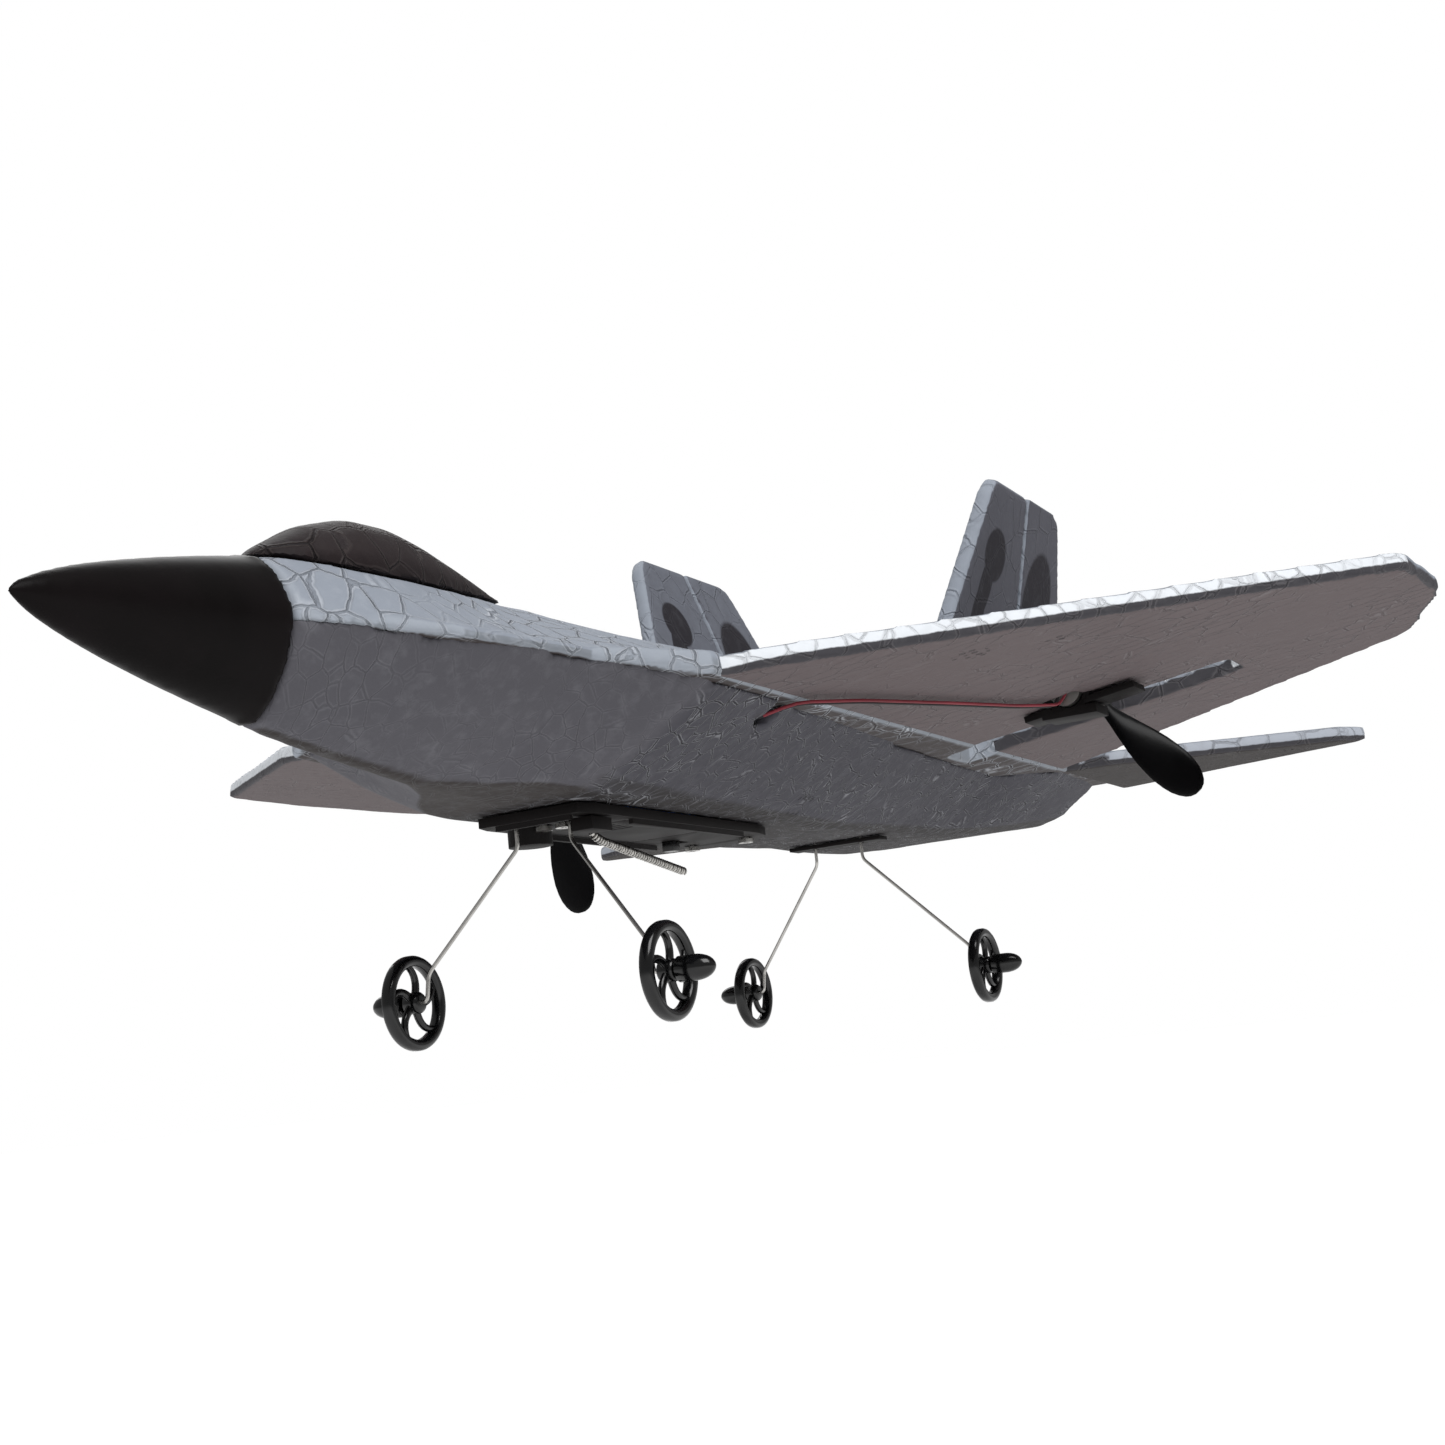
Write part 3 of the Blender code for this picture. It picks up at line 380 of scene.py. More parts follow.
        # Painted highlight along forward-facing edges; on swept surfaces only above the ragged
        # highlight line.
        front = add_node(tree, "MapRange", {"Value": ahead},
                         {"From Min": -0.34, "From Max": -0.5})
        painted_highlight_band = front.outputs[0]
        if self.swept:
            painted_highlight_band = maths(tree, "MULTIPLY", painted_highlight_band, self.above_edge(tree, coords, ragged))
        colour = mix_colours(tree, lit_top_share.outputs[0], self.side, self.top)
        colour = mix_colours(tree, below.outputs[0], colour, self.under)
        colour = mix_colours(tree, painted_highlight_band, colour, self.front)
        colour = mix_colours(tree, calm.outputs[0], colour, self.aft, "MULTIPLY")
        if self.blobs:
            colour = mix_colours(tree, self.blob_mask(tree, coords), colour, self.blob_colour)
        soft = ramp_stops(add_node(tree, "ValToRGB", {0: patchy.outputs["Fac"]}),
                          [(0.25, 0.95), (0.75, 1.04)])
        colour = mix_colours(tree, 1.0, colour, soft.outputs[0], "MULTIPLY")
        grit = ramp_stops(add_node(tree, "ValToRGB", {0: dust_and_light_edge.outputs["Fac"]}),
                          [(0.5, 0.0), (0.8, 0.14)])
        colour = mix_colours(tree, grit.outputs[0], colour, self.line)
        lit = maths(tree, "MULTIPLY", lines, self.line_share)
        colour = mix_colours(tree, lit, colour, self.line)
        colour = mix_colours(tree, maths(tree, "MULTIPLY", grooves, self.crack_share),
                             colour, "#2b292b")
        dots = maths(tree, "MULTIPLY", self.vent_dots(tree, coords), self.vents)
        colour = mix_colours(tree, maths(tree, "MULTIPLY", dots, 0.55), colour, "#2e2c2e")
        tree.links.new(colour, shader.inputs["Base Color"])
        dull = add_node(tree, "MapRange", {"Value": dust_and_light_edge.outputs["Fac"]},
                        {"To Min": self.roughness - 0.1, "To Max": self.roughness + 0.14})
        tree.links.new(dull.outputs[0], shader.inputs["Roughness"])
        shader.inputs["IOR"].default_value = 1.25
        shader.inputs["Specular IOR Level"].default_value = 0.3
        relief = maths(tree, "SUBTRACT", maths(tree, "MULTIPLY", lines, 0.5), grooves)
        bump = add_node(tree, "Bump", {"Height": relief},
                        {"Strength": 0.9, "Distance": self.relief * MM})
        grain = add_node(tree, "Bump", {"Height": dust_and_light_edge.outputs["Fac"], "Normal": bump.outputs[0]},
                         {"Strength": 0.45, "Distance": 0.0004})
        pits = add_node(tree, "Bump", {"Height": dots, "Normal": grain.outputs[0]},
                        {"Strength": 0.9, "Distance": 0.0005}, invert=True)
        tree.links.new(pits.outputs[0], shader.inputs["Normal"])
        return mat


@dataclass(frozen=True)
class Moulded:
    """Injection-moulded ABS or polypropylene, satin or gloss.

    To the eye: near-black with a soft sheen, faint flow marks and a very slight
    orange-peel ripple that breaks up the highlights.
    """

    name: str
    colour: str
    worn: str
    roughness: float
    ripple: float = 4.0
    depth: float = 0.05
    coat: float = 0.0
    specular: float = 0.12
    ior: float = 1.5

    def build(self) -> bpy.types.Material:
        """Build the plastic's node tree."""
        mat, tree, shader = new_material(self.name)
        coords = add_node(tree, "TexCoord").outputs["Object"]
        flow = add_node(tree, "TexNoise", {"Vector": coords},
                        {"Scale": 1000 / 18, "Detail": 5.0, "Distortion": 0.8})
        fine = add_node(tree, "TexNoise", {"Vector": coords},
                        {"Scale": 1000 / self.ripple, "Detail": 2.0})
        share = ramp_stops(add_node(tree, "ValToRGB", {0: flow.outputs["Fac"]}),
                           [(0.35, 0.0), (0.8, 1.0)])
        colour = mix_colours(tree, share.outputs[0], self.colour, self.worn)
        tree.links.new(colour, shader.inputs["Base Color"])
        dull = add_node(tree, "MapRange", {"Value": flow.outputs["Fac"]},
                        {"To Min": self.roughness - 0.07, "To Max": self.roughness + 0.09})
        tree.links.new(dull.outputs[0], shader.inputs["Roughness"])
        bump = add_node(tree, "Bump", {"Height": fine.outputs["Fac"]},
                        {"Strength": 0.35, "Distance": self.depth * MM})
        tree.links.new(bump.outputs[0], shader.inputs["Normal"])
        shader.inputs["IOR"].default_value = self.ior
        shader.inputs["Specular IOR Level"].default_value = self.specular
        shader.inputs["Coat Weight"].default_value = self.coat
        shader.inputs["Coat Roughness"].default_value = 0.22
        return mat


@dataclass(frozen=True)
class Wire:
    """Hard-drawn spring steel or a plated steel can.

    To the eye: bright grey metal with a few dull patches.
    """

    name: str
    colour: str
    roughness: float

    def build(self) -> bpy.types.Material:
        """Build the metal's node tree."""
        mat, tree, shader = new_material(self.name)
        coords = add_node(tree, "TexCoord").outputs["Object"]
        patch = add_node(tree, "TexNoise", {"Vector": coords},
                         {"Scale": 1000 / 5, "Detail": 4.0})
        colour = mix_colours(tree, patch.outputs["Fac"], self.colour, "#8b8986")
        tree.links.new(colour, shader.inputs["Base Color"])
        dull = add_node(tree, "MapRange", {"Value": patch.outputs["Fac"]},
                        {"To Min": self.roughness - 0.08, "To Max": self.roughness + 0.12})
        tree.links.new(dull.outputs[0], shader.inputs["Roughness"])
        shader.inputs["Metallic"].default_value = 1.0
        return mat


@dataclass(frozen=True)
class Laminate:
    """Solder-masked circuit laminate or shrink film: a gloss colour with fine traces."""

    name: str
    colour: str
    trace: str
    pitch: float = 1.2

    def build(self) -> bpy.types.Material:
        """Build the laminate's node tree."""
        mat, tree, shader = new_material(self.name)
        coords = add_node(tree, "TexCoord").outputs["Object"]
        grid = add_node(tree, "TexBrick", {"Vector": coords},
                        {"Scale": 1000 / self.pitch / 4, "Mortar Size": 0.06,
                         "Color1": srgb(self.colour), "Color2": srgb(self.colour),
                         "Mortar": srgb(self.trace)})
        tree.links.new(grid.outputs["Color"], shader.inputs["Base Color"])
        bump = add_node(tree, "Bump", {"Height": grid.outputs["Fac"]},
                        {"Strength": 0.3, "Distance": 0.00005})
        tree.links.new(bump.outputs[0], shader.inputs["Normal"])
        shader.inputs["Roughness"].default_value = 0.3
        return mat


@dataclass(frozen=True)
class StudioPaper:
    """Matt white background paper with the faintest fibre mottle.

    It glows a little, as lit paper does, and looks brighter than the light it gives.
    """

    name: str = "studio_paper_matt_white"
    colour: str = "#f7f7f7"
    glow: float = 0.22
    seen_glow: float = 0.7

    def build(self) -> bpy.types.Material:
        """Build the paper's node tree."""
        mat, tree, shader = new_material(self.name)
        coords = add_node(tree, "TexCoord").outputs["Object"]
        fibre = add_node(tree, "TexNoise", {"Vector": coords}, {"Scale": 60.0, "Detail": 3.0})
        colour = mix_colours(tree, fibre.outputs["Fac"], self.colour, "#ffffff")
        tree.links.new(colour, shader.inputs["Base Color"])
        shader.inputs["Roughness"].default_value = 0.9
        shader.inputs["Emission Color"].default_value = (1, 1, 1, 1)
        seen = add_node(tree, "LightPath").outputs["Is Camera Ray"]
        glow = maths(tree, "MULTIPLY_ADD", seen, self.seen_glow, self.glow)
        tree.links.new(glow, shader.inputs["Emission Strength"])
        return mat


# ------------------------------------------------------------------ mesh helpers


def node_copy(*nodes: str) -> bmesh.types.BMesh:
    """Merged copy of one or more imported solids.

    Args:
        nodes: Node names.

    Returns:
        A bmesh with the loose triangles joined.
    """
    bm = bmesh.new()
    for name in nodes:
        bm.from_mesh(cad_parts[name].data)
    bmesh.ops.remove_doubles(bm, verts=bm.verts, dist=WELD)
    bmesh.ops.recalc_face_normals(bm, faces=bm.faces)
    return bm


def remeshed(bm: bmesh.types.BMesh, voxel: float) -> bmesh.types.BMesh:
    """Even quad skin over a closed mesh.

    Args:
        bm: Source mesh, freed here.
        voxel: Edge length in millimetres.

    Returns:
        The remeshed bmesh.
    """
    mesh = bpy.data.meshes.new("skin_source")
    bm.to_mesh(mesh)
    bm.free()
    holder = bpy.data.objects.new("skin_source", mesh)
    bpy.context.scene.collection.objects.link(holder)
    skin = holder.modifiers.new("skin", "REMESH")
    skin.mode = "VOXEL"
    skin.voxel_size = voxel * MM
    bpy.context.view_layer.update()
    result = holder.evaluated_get(bpy.context.evaluated_depsgraph_get()).to_mesh()
    out = bmesh.new()
    out.from_mesh(result)
    bpy.data.objects.remove(holder)
    bpy.data.meshes.remove(mesh)
    return out


def sweep(bm: bmesh.types.BMesh, frames: list[Matrix], segments: int) -> None:
    """Draw a closed tube by extruding a unit circle from frame to frame.

    Args:
        bm: Mesh that gets the tube.
        frames: Matrices that place the unit circle of the XY plane, in order.
        segments: Points round the circle.
    """
    made = bmesh.ops.create_circle(bm, cap_ends=False, segments=segments, radius=1.0)
    ring = made["verts"]
    unit = [v.co.copy() for v in ring]
    edges = list({e for v in ring for e in v.link_edges})
    first_ring = list(ring)
    for vert, spot in zip(ring, unit):
        vert.co = frames[0] @ spot
    for frame in frames[1:]:
        grown = bmesh.ops.extrude_edge_only(bm, edges=edges)
        fresh = [g for g in grown["geom"] if isinstance(g, bmesh.types.BMVert)]
        partner = {}
        for vert in ring:
            for edge in vert.link_edges:
                other = edge.other_vert(vert)
                if other in fresh:
                    partner[vert] = other
        edges = [g for g in grown["geom"] if isinstance(g, bmesh.types.BMEdge)
                 and all(v in fresh for v in g.verts)]
        ring = [partner[v] for v in ring]
        for vert, spot in zip(ring, unit):
            vert.co = frame @ spot
    bmesh.ops.contextual_create(bm, geom=first_ring)
    bmesh.ops.contextual_create(bm, geom=ring)


def path_frames(points: list[Vector], radius: float) -> list[Matrix]:
    """Frames for a round tube along a path, kept from twisting.

    Args:
        points: Path points in metres.
        radius: Tube radius in metres.

    Returns:
        One matrix per point.
    """
    frames = []
    across = Vector(FIRST_ACROSS)
    for index, point in enumerate(points):
        ahead = points[min(index + 1, len(points) - 1)] - points[max(index - 1, 0)]
        ahead.normalize()
        across = (across - ahead * across.dot(ahead)).normalized()
        other = ahead.cross(across)
        turn = Matrix((across * radius, other * radius, ahead)).transposed().to_4x4()
        frames.append(Matrix.Translation(point) @ turn)
    return frames


def lathe(bm: bmesh.types.BMesh, profile: list[tuple[float, float]], axis: Vector,
          centre: Vector, steps: int) -> None:
    """Spin a profile of radius and distance along the axis, in millimetres.

    Args:
        bm: Mesh that gets the turned shape.
        profile: Radius and distance pairs, starting and ending on the axis.
        axis: Unit axis.
        centre: Point on the axis where the distance is zero, in metres.
        steps: Steps round the full turn.
    """
    out = axis.orthogonal().normalized()
    verts = [bm.verts.new(centre + (out * radius + axis * along) * MM)
             for radius, along in profile]
    edges = [bm.edges.new(pair) for pair in zip(verts, verts[1:])]
    bmesh.ops.spin(bm, geom=verts + edges, cent=centre, axis=axis, angle=math.tau,
                   steps=steps, use_merge=True)


def finish_piece(name: str, bm: bmesh.types.BMesh, mat: bpy.types.Material, body: str,
                 stands_for: tuple[str, ...] = (),
                 crease: float = 38.0) -> bpy.types.Object:
    """Turn a bmesh into a finished piece that rides on a body.

    Args:
        name: Piece name.
        bm: Mesh, freed here.
        mat: Finish.
        body: Body that the piece moves with.
        stands_for: Nodes that the piece replaces.
        crease: Angle in degrees above which an edge stays sharp.

    Returns:
        The new object.
    """
    bmesh.ops.remove_doubles(bm, verts=bm.verts, dist=WELD)
    bmesh.ops.recalc_face_normals(bm, faces=bm.faces)
    for face in bm.faces:
        face.smooth = True
    for edge in bm.edges:
        if len(edge.link_faces) == 2:
            edge.smooth = edge.calc_face_angle(0.0) < math.radians(crease)
    mesh = bpy.data.meshes.new(name)
    bm.to_mesh(mesh)
    bm.free()
    mesh.materials.append(mat)
    obj = bpy.data.objects.new(name, mesh)
    bpy.context.scene.collection.objects.link(obj)
    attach(obj, body)
    if stands_for:
        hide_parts(*stands_for)
    LOG.info("%s: %d faces", name, len(mesh.polygons))
    return obj


# ------------------------------------------------------------------ sub-assemblies


@dataclass
class FoamShell:
    """One moulded foam part, with softened edges and a gently uneven skin."""

    node: str
    slot: str
    voxel: float = 1.0
    rounds: int = 2
    unevenness: float = 0.14
    broad: float = 95.0
    fine: float = 260.0
    broad_share: float = 0.65
    body: str = "airframe"
    bury: Vector = field(default_factory=Vector)

    def build(self, mat: bpy.types.Material) -> bpy.types.Object:
        """Remesh the solid, soften it and ripple its skin inwards.

        Args:
            mat: Foam finish.

        Returns:
            The foam piece.
        """
        solid = node_copy(self.node)
        if self.bury.length:
            joint = {v for f in solid.faces for v in f.verts
                     if f.normal.dot(self.bury.normalized()) > 0.95}
            bmesh.ops.translate(solid, verts=list(joint), vec=self.bury)
        bm = remeshed(solid, self.voxel)
        low, high = CAD_BOX
        for _ in range(self.rounds):
            bmesh.ops.smooth_vert(bm, verts=bm.verts, factor=0.5, use_axis_x=True,
                                  use_axis_y=True, use_axis_z=True)
        bm.normal_update()
        for vert in bm.verts:
            swell = (noise.noise(vert.co * self.broad) * self.broad_share
                     + noise.noise(vert.co * self.fine) * (1 - self.broad_share))
            vert.co -= vert.normal * (self.unevenness * MM * (0.5 + 0.5 * swell))
            for axis in range(3):
                vert.co[axis] = min(max(vert.co[axis], low[axis]), high[axis])
        return finish_piece(self.node + "_skin", bm, mat, self.body,
                            (self.node,), crease=70.0)


@dataclass
class NoseCone:
    """Blow-moulded nose cone, faired smooth with its rear rim kept crisp."""

    voxel: float = 0.8
    rounds: int = 18
    rim: float = 2.2

    def build(self, mat: bpy.types.Material) -> bpy.types.Object:
        """Fair the cone everywhere but at its rear rim.

        Args:
            mat: Plastic finish.

        Returns:
            The cone.
        """
        bm = remeshed(node_copy("nose_cone"), self.voxel)
        low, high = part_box("nose_cone")
        rear = high.y - self.rim * MM
        for step in range(self.rounds):
            free = [v for v in bm.verts if v.co.y < rear or step < 1]
            bmesh.ops.smooth_vert(bm, verts=free, factor=0.5, use_axis_x=True,
                                  use_axis_y=True, use_axis_z=True)
        shrunk = min(v.co.y for v in bm.verts)
        stretch = (low.y - rear) / (shrunk - rear)
        for vert in bm.verts:
            if vert.co.y < rear:
                vert.co.y = rear + (vert.co.y - rear) * stretch
        return finish_piece("nose_cone_shell", bm, mat, "airframe",
                            ("nose_cone",), crease=60.0)


@dataclass
class Canopy:
    """Foam canopy bulge painted black."""

    voxel: float = 0.8
    rounds: int = 12

    def build(self, mat: bpy.types.Material) -> bpy.types.Object:
        """Fair the bulge above its foot.

        Args:
            mat: Foam finish.

        Returns:
            The canopy.
        """
        bm = remeshed(node_copy("canopy"), self.voxel)
        bmesh.ops.smooth_vert(bm, verts=bm.verts, factor=0.5, use_axis_x=True,
                              use_axis_y=True, use_axis_z=True)
        bm.normal_update()
        free = [v for v in bm.verts if v.normal.z > -0.2]
        for _ in range(self.rounds):
            bmesh.ops.smooth_vert(bm, verts=free, factor=0.5, use_axis_x=True,
                                  use_axis_y=True, use_axis_z=True)
        return finish_piece("canopy_skin", bm, mat, "airframe",
                            ("canopy",), crease=60.0)


@dataclass
class Propeller:
    """Two-blade paddle pusher with a domed hub."""

    side: Side
    turn: float
    radius: float = 30.0
    sections: tuple[tuple[float, float, float], ...] = (
        (1.0, 1.5, 1.5), (3.0, 1.7, 1.3), (5.0, 2.2, 1.0), (7.5, 2.9, 0.85),
        (10.0, 3.5, 0.75), (13.0, 4.2, 0.66), (16.0, 4.7, 0.6), (19.0, 4.95, 0.54),
        (21.5, 5.0, 0.5), (24.0, 4.75, 0.46), (26.0, 4.3, 0.42), (27.6, 3.6, 0.38),
        (28.8, 2.8, 0.34), (29.5, 2.0, 0.3), (29.95, 0.9, 0.24))

    def build(self, mat: bpy.types.Material) -> bpy.types.Object:
        """Sweep both blades and turn the hub and shaft.

        Args:
            mat: Plastic finish.

        Returns:
            The propeller.
        """
        node = "prop_" + self.side.word
        low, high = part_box(node)
        hub_y = high.y - 2.8 * MM
        spot = Vector(((low.x + high.x) / 2, hub_y, (low.z + high.z) / 2))
        bm = bmesh.new()
        for k in range(2):
            turn = self.turn + math.pi * k
            reach_way = Vector((math.cos(turn), 0, math.sin(turn)))
            chord_way = Vector((-math.sin(turn), 0, math.cos(turn)))
            frames = []
            for reach, half, thick in self.sections:
                pitch = math.radians(40 - 24 * reach / self.radius)
                chord = (chord_way * math.cos(pitch) + Vector((0, 1, 0)) * math.sin(pitch))
                depth = reach_way.cross(chord)
                grid = Matrix((chord * half, depth * thick, reach_way)).transposed().to_4x4()
                grid = Matrix.Scale(MM, 4) @ grid
                grid[3][3] = 1.0
                frames.append(Matrix.Translation(spot + reach_way * reach * MM) @ grid)
            sweep(bm, frames, 20)
        lathe(bm, [(0, 2.8), (1.5, 2.7), (2.1, 2.3), (2.3, 1.6), (2.3, -2.2), (1.9, -2.7),
                   (0.55, -2.8), (0.5, -3.2), (0.5, -7.9), (0, -8.0)],
              Vector((0, 1, 0)), spot, 32)
        return finish_piece(node + "_blades", bm, mat, "propeller_" + self.side.word,
                            (node,), crease=50.0)


@dataclass
class Wheel:
    """Spoked plastic wheel: round rim with a thin flange, five swept spokes, hub."""

    end: str
    side: Side
    radius: float = 8.75
    rim: tuple[tuple[float, float], ...] = (
        (8.75, -0.5), (8.75, 0.5), (8.55, 0.95), (8.15, 1.25), (7.4, 1.25), (6.95, 1.05),
        (6.7, 0.7), (6.65, 0.0), (6.7, -0.7), (6.95, -1.05), (7.4, -1.25), (8.15, -1.25),
        (8.55, -0.95))

    def build(self, mat: bpy.types.Material) -> bpy.types.Object:
        """Spin the rim, sweep the spokes and turn the hub.

        Args:
            mat: Plastic finish.

        Returns:
            The wheel.
        """
        node = f"wheel_{self.end}_{self.side.word}"
        low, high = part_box(node)
        spot = (low + high) / 2
        bm = bmesh.new()
        verts = [bm.verts.new(spot + Vector((x * MM, 0, r * MM))) for r, x in self.rim]
        edges = [bm.edges.new(pair) for pair in zip(verts, verts[1:] + verts[:1])]
        bmesh.ops.spin(bm, geom=verts + edges, cent=spot, axis=(1, 0, 0), angle=math.tau,
                       steps=64, use_merge=True)
        for k in range(5):
            frames = []
            for step in range(9):
                t = step / 8
                reach = 1.2 + t * (self.radius - 2.7)
                angle = math.tau * k / 5 + 0.55 * t * t
                out = Vector((0, math.cos(angle), math.sin(angle)))
                lean = (out + Vector((0, -out.z, out.y)) * 1.1 * t * t).normalized()
                wide = Vector((1, 0, 0)).cross(lean)
                grid = Matrix((wide * (0.95 - 0.36 * t) * MM, Vector((0.66 * MM, 0, 0)),
                               lean)).transposed().to_4x4()
                frames.append(Matrix.Translation(spot + out * reach * MM) @ grid)
            sweep(bm, frames, 12)
        lathe(bm, [(0, 1.7), (1.3, 1.7), (1.75, 1.55), (2.0, 1.2), (2.0, -1.2),
                   (1.75, -1.55), (1.3, -1.7), (0, -1.7)], Vector((1, 0, 0)), spot, 32)
        return finish_piece(node + "_moulding", bm, mat, node, (node,),
                            crease=50.0)


@dataclass
class HubCap:
    """Bullet-shaped retainer on the wire end."""

    end: str
    side: Side

    def build(self, mat: bpy.types.Material) -> bpy.types.Object:
        """Turn the bullet with a small step at its foot.

        Args:
            mat: Plastic finish.

        Returns:
            The cap.
        """
        node = f"hub_cap_{self.end}_{self.side.word}"
        low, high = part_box(node)
        spot = (low + high) / 2
        spot.x = low.x if self.side is Side.LEFT else high.x
        bm = bmesh.new()
        lathe(bm, [(0, 0), (2.1, 0), (2.3, 0.2), (2.3, 3.2), (2.26, 3.9), (2.12, 4.7),
                   (1.9, 5.4), (1.6, 6.0), (1.2, 6.5), (0.75, 6.85), (0.35, 7.03), (0, 7.08)],
              Vector((self.side.value, 0, 0)), spot, 32)
        return finish_piece(node + "_bullet", bm, mat, "airframe",
                            (node,), crease=50.0)


@dataclass
class CoilAntenna:
    """Whip of close-wound spring wire, bent once below the tray and swept aft."""

    wire: float = 0.19
    outer: float = 0.88
    pitch: float = 0.82
    steps_per_turn: int = 10

    def route(self) -> list[Vector]:
        """Centre line of the coil, from the tray to the tail end.

        Returns:
            Points about 0.3 mm apart, in metres.
        """
        low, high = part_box("antenna")
        top = Vector((low.x + 0.9 * MM, low.y + 0.9 * MM, high.z))
        corners = [top, Vector((top.x, top.y + 0.4 * MM, top.z - 5.0 * MM)),
                   Vector((top.x, top.y + 1.6 * MM, top.z - 6.5 * MM)),
                   Vector((top.x, top.y + 4.6 * MM, top.z - 7.4 * MM)),
                   Vector((high.x - 0.9 * MM, high.y - 0.2 * MM, low.z + 1.0 * MM))]
        out = []
        for start, stop in zip(corners, corners[1:]):
            count = max(2, int((stop - start).length / (0.3 * MM)))
            out += [start.lerp(stop, i / count) for i in range(count)]
        out.append(corners[-1])
        for _ in range(6):
            out = [out[0]] + [(a + b * 2 + c) / 4 for a, b, c in
                              zip(out, out[1:], out[2:])] + [out[-1]]
        return out

    def build(self, mat: bpy.types.Material) -> bpy.types.Object:
        """Wind the coil round its route.

        Args:
            mat: Steel finish.

        Returns:
            The antenna.
        """
        frames = path_frames(self.route(), 1.0)
        lengths = [0.0]
        for a, b in zip(frames, frames[1:]):
            lengths.append(lengths[-1] + (b.translation - a.translation).length)
        turns = lengths[-1] / (self.pitch * MM)
        points, mark = [], 0
        for step in range(int(turns * self.steps_per_turn)):
            along = step / self.steps_per_turn * self.pitch * MM
            while mark < len(lengths) - 2 and lengths[mark + 1] < along:
                mark += 1
            share = (along - lengths[mark]) / (lengths[mark + 1] - lengths[mark])
            centre = frames[mark].translation.lerp(frames[mark + 1].translation, share)
            angle = math.tau * step / self.steps_per_turn
            reach = (self.outer - self.wire) * MM
            turn = frames[mark].to_3x3()
            points.append(centre + turn @ Vector((math.cos(angle) * reach,
                                                  math.sin(angle) * reach, 0)))
        bm = bmesh.new()
        sweep(bm, path_frames(points, self.wire * MM), 6)
        sweep(bm, path_frames([f.translation for f in frames], 0.45 * MM), 8)
        return finish_piece("antenna_coil", bm, mat, "airframe", ("antenna",))


@dataclass
class SmoothPart:
    """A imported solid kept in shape, with smooth shading and eased edges."""

    node: str
    slot: str
    body: str = "airframe"
    ease: float = 0.0
    thin: float = 0.0

    def build(self, mat: bpy.types.Material) -> bpy.types.Object:
        """Join the triangles, ease the sharp edges and shade the rest smooth.

        Args:
            mat: Finish.

        Returns:
            The piece.
        """
        bm = node_copy(self.node)
        if self.thin:
            bm.normal_update()
            for vert in bm.verts:
                vert.co -= vert.normal * self.thin * MM
        if self.ease:
            bmesh.ops.dissolve_limit(bm, angle_limit=math.radians(0.6), verts=bm.verts,
                                     edges=bm.edges)
            sharp = [e for e in bm.edges if e.calc_face_angle(0.0) > math.radians(40)]
            bmesh.ops.bevel(bm, geom=sharp, offset=self.ease * MM, segments=2, profile=0.5,
                            affect="EDGES", material=-1, clamp_overlap=True)
        return finish_piece(self.node + "_part", bm, mat, self.body, (self.node,))


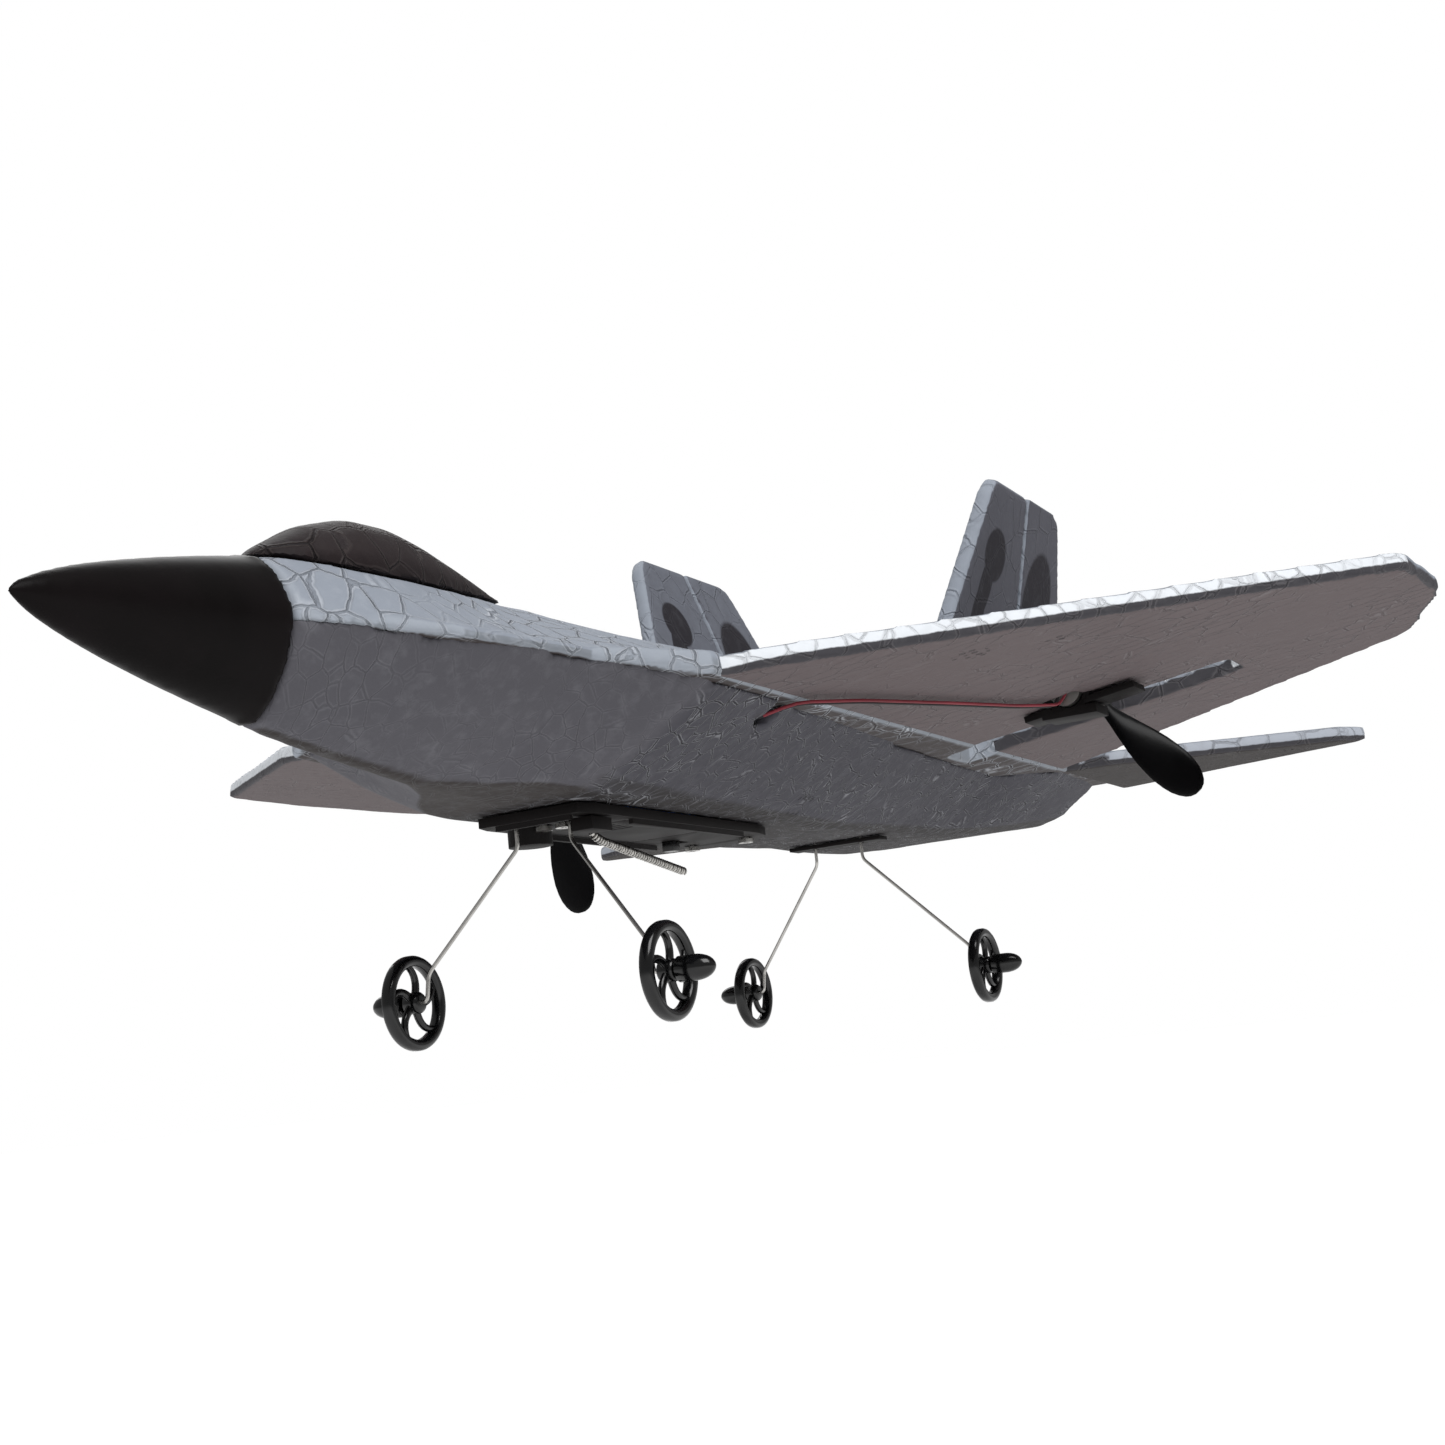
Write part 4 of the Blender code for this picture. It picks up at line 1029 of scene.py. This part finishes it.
@dataclass
class Studio:
    """Pale floor, soft lights and the camera."""

    floor_height: float = -0.12
    floor_radius: float = 14.0
    aim_height: float = 0.06
    seen_white: float = 1.0
    lit_white: float = 0.4
    eye: Vector = field(default_factory=lambda: Vector((0.19133, -0.36117, -0.00792)))
    azimuth: float = 26.58
    elevation: float = -9.81
    roll: float = -5.89
    lens: float = 48.92

    def floor(self) -> None:
        """Lay a large pale disc well below the wheels."""
        bm = bmesh.new()
        bmesh.ops.create_circle(bm, cap_ends=True, segments=96,
                                radius=self.floor_radius)
        bmesh.ops.translate(bm, verts=bm.verts, vec=(0, 0, self.floor_height))
        mesh = bpy.data.meshes.new("floor")
        bm.to_mesh(mesh)
        bm.free()
        mesh.materials.append(StudioPaper().build())
        obj = bpy.data.objects.new("floor", mesh)
        bpy.context.scene.collection.objects.link(obj)

    def light(self, name: str, place: tuple[float, float, float], size: float,
              power: float) -> None:
        """Add one square soft light aimed at the aeroplane.

        Args:
            name: Light name.
            place: Position in metres.
            size: Side in metres.
            power: Power in watts.
        """
        data = bpy.data.lights.new(name, "AREA")
        data.shape = "SQUARE"
        data.size = size
        data.energy = power
        obj = bpy.data.objects.new(name, data)
        obj.location = place
        aim = Vector((0, 0, self.aim_height)) - Vector(place)
        obj.rotation_euler = aim.to_track_quat("-Z", "Y").to_euler()
        bpy.context.scene.collection.objects.link(obj)

    def world(self) -> None:
        """White surround that the eye sees brighter than the aeroplane does."""
        world = bpy.data.worlds.new("studio")
        world.use_nodes = True
        tree = world.node_tree
        tree.nodes.clear()
        seen = add_node(tree, "Background", values={"Strength": self.seen_white})
        lit = add_node(tree, "Background", values={"Strength": self.lit_white})
        for node in (seen, lit):
            node.inputs["Color"].default_value = (1, 1, 1, 1)
        path = add_node(tree, "LightPath")
        pick = add_node(tree, "MixShader", {0: path.outputs["Is Camera Ray"],
                                            1: lit.outputs[0], 2: seen.outputs[0]})
        add_node(tree, "OutputWorld", {0: pick.outputs[0]})
        bpy.context.scene.world = world

    def camera(self) -> None:
        """Stand the camera low at the nose, left of it, looking slightly up."""
        az, el = math.radians(self.azimuth), math.radians(self.elevation)
        roll = math.radians(self.roll)
        back = Vector((math.sin(az) * math.cos(el), -math.cos(az) * math.cos(el),
                       math.sin(el)))
        right = (-back).cross(Vector((0, 0, 1))).normalized()
        up = right.cross(-back)
        turned_right = math.cos(roll) * right + math.sin(roll) * up
        turned_up = -math.sin(roll) * right + math.cos(roll) * up
        data = bpy.data.cameras.new("camera")
        data.lens = self.lens
        data.sensor_width = 36.0
        data.clip_start = 0.001
        obj = bpy.data.objects.new("camera", data)
        turn = Matrix((turned_right, turned_up, back)).transposed().to_4x4()
        obj.matrix_world = Matrix.Translation(self.eye) @ turn
        bpy.context.scene.collection.objects.link(obj)
        bpy.context.scene.camera = obj

    def build(self) -> None:
        """Set up floor, lights, surround and camera."""
        self.floor()
        self.world()
        self.light("key", (0.9, -0.7, 1.5), 1.2, 30.0)
        self.light("rim", (-0.9, 0.9, 1.1), 1.0, 7.0)
        self.camera()
        bpy.context.scene.view_settings.view_transform = "Standard"


def main() -> None:
    """Build and dress the whole aeroplane."""
    logging.basicConfig(level=logging.INFO, format="%(message)s")
    Studio().build()
    fin_blobs = (Blob(85, 106.3, 6.9, 6.2), Blob(81.4, 98.5, 3.8, 9, -20),
                 Blob(78.6, 88, 4.2, 11, -8), Blob(118.8, 99.5, 10.4, 12.8))
    # The top, under and front colours below are painted light: lit tops, shaded undersides and a
    # painted highlight on forward-facing edges.
    foam = {
        "fuselage_top": BeadFoam("epp_foam_painted_upper", top="#888e98", side="#7b8087",
                                 under="#3a3535", front="#9298a1", crack_share=0.2,
                                 bead=6.0, line="#c3c7ce", line_share=0.5),
        "fuselage_lower": BeadFoam("epp_foam_painted_lower", side="#525156", under="#302c2b",
                                   front="#525156", top="#525156", aft="#c6c6cc",
                                   line="#97989d", bead=3.8,
                                   stretch=(1.0, 1.2, 0.65), line_share=0.6,
                                   crack_share=0.3, calm_to=-64.0),
        "wing": BeadFoam("epp_foam_painted_wing", top="#888e98", side="#403f43",
                         under="#584f50", front="#d8dce1", bead=5.0, line="#7d7a7c",
                         stretch=(0.7, 1.3, 1.0), line_share=0.3, crack_share=0.1,
                         swept=True, highlight_line=50.9, rise=0.1523, relief=0.25),
        "stab": BeadFoam("epp_foam_painted_tailplane", top="#888e98", side="#403f43",
                         under="#2c2827", front="#a3a8b1", bead=5.0, line="#6a6768",
                         stretch=(0.7, 1.3, 1.0), line_share=0.4, crack_share=0.1,
                         swept=True, highlight_line=57.7, relief=0.25),
        "fin": BeadFoam("epp_foam_painted_fin", side="#56565d", top="#6c6f78", under="#56565d",
                        bead=8.0, line_share=0.1, crack_share=0.05, front="#9298a2",
                        line="#84868c", vents=0.6, blobs=fin_blobs, blob_colour="#2d2b30",
                        relief=0.25),
    }
    mats = {key: finish.build() for key, finish in foam.items()}
    # The black canopy paint also gets a painted lit top and a painted shaded underside.
    canopy_mat = BeadFoam("epp_foam_painted_black", top="#2a2425", side="#221c1d",
                          under="#151112", front="#221d1e", line="#453f3e", bead=6.5,
                          line_share=0.55, vents=0.0, roughness=0.5).build()
    FoamShell("fuselage_top", "foam_top").build(mats["fuselage_top"])
    FoamShell("fuselage_lower", "foam_under",
              bury=Vector((0, 0, 1.0 * MM))).build(mats["fuselage_lower"])
    for side in Side:
        inward = Vector((-side.value * 3.0 * MM, 0, 0))
        FoamShell("wing_" + side.word, "foam_wing", bury=inward).build(mats["wing"])
        FoamShell("stab_" + side.word, "foam_wing", bury=inward).build(mats["stab"])
        FoamShell("fin_" + side.word, "foam_fin", voxel=0.8, rounds=2,
                  unevenness=0.08).build(mats["fin"])
        FoamShell("rudder_" + side.word, "foam_fin", voxel=0.8, rounds=2,
                  unevenness=0.08, body="rudder_" + side.word).build(mats["fin"])
    NoseCone().build(Moulded("abs_blown_satin", "#0a0808", "#120e0f", 0.38, 3.0,
                             0.08, ior=1.3).build())
    Canopy().build(canopy_mat)

    gloss = Moulded("abs_moulded_gloss", "#030304", "#0a0a0b", 0.16, 2.5, 0.03,
                    specular=0.4).build()
    satin = Moulded("abs_moulded_satin", "#0d0b0b", "#161313", 0.6, 1.4, 0.04,
                    specular=0.3, ior=1.25).build()
    prop = Moulded("polypropylene_moulded_prop", "#040405", "#0b0b0c", 0.3, 2.0,
                   0.02).build()
    steel = Wire("spring_steel_drawn", "#c9c7c3", 0.24).build()
    can = Wire("motor_can_plated", "#9d9b98", 0.35).build()
    red = Moulded("pvc_lead_red", "#5e2027", "#8a3640", 0.38, 1.0, 0.02).build()
    black = Moulded("pvc_lead_black", "#151314", "#262324", 0.38, 1.0, 0.02).build()
    for side, turn in ((Side.LEFT, -50.0), (Side.RIGHT, -80.0)):
        Propeller(side, math.radians(turn)).build(prop)
        for end in ("front", "rear"):
            Wheel(end, side).build(gloss)
            HubCap(end, side).build(gloss)
            SmoothPart(f"{end}_leg_{side.word}", "wire_steel").build(steel)
        SmoothPart("motor_" + side.word, "motor_can").build(can)
        SmoothPart("motor_mount_" + side.word, "tray_black", ease=0.15).build(satin)
        SmoothPart("lead_red_" + side.word, "lead_red", thin=0.12).build(red)
        SmoothPart("lead_black_" + side.word, "lead_black", thin=0.12).build(black)
    CoilAntenna().build(steel)
    SmoothPart("undertray", "tray_black", ease=0.12).build(satin)
    for node in ("battery_hatch", "charge_socket", "rear_gear_plate"):
        SmoothPart(node, "tray_black", ease=0.12).build(satin)
    SmoothPart("power_switch", "gloss_black", "switch_knob", ease=0.12).build(gloss)
    for index in range(1, 5):
        SmoothPart(f"tray_screw_{index}", "wire_steel").build(steel)
    SmoothPart("battery", "cell_wrap", ease=0.4).build(
        Laminate("shrink_film_blue", "#29427f", "#314c8c", 3.0).build())
    SmoothPart("receiver_board", "board_green", ease=0.1).build(
        Laminate("circuit_laminate_green", "#144d29", "#2d7a48", 1.0).build())


if __name__ == "__main__":
    main()
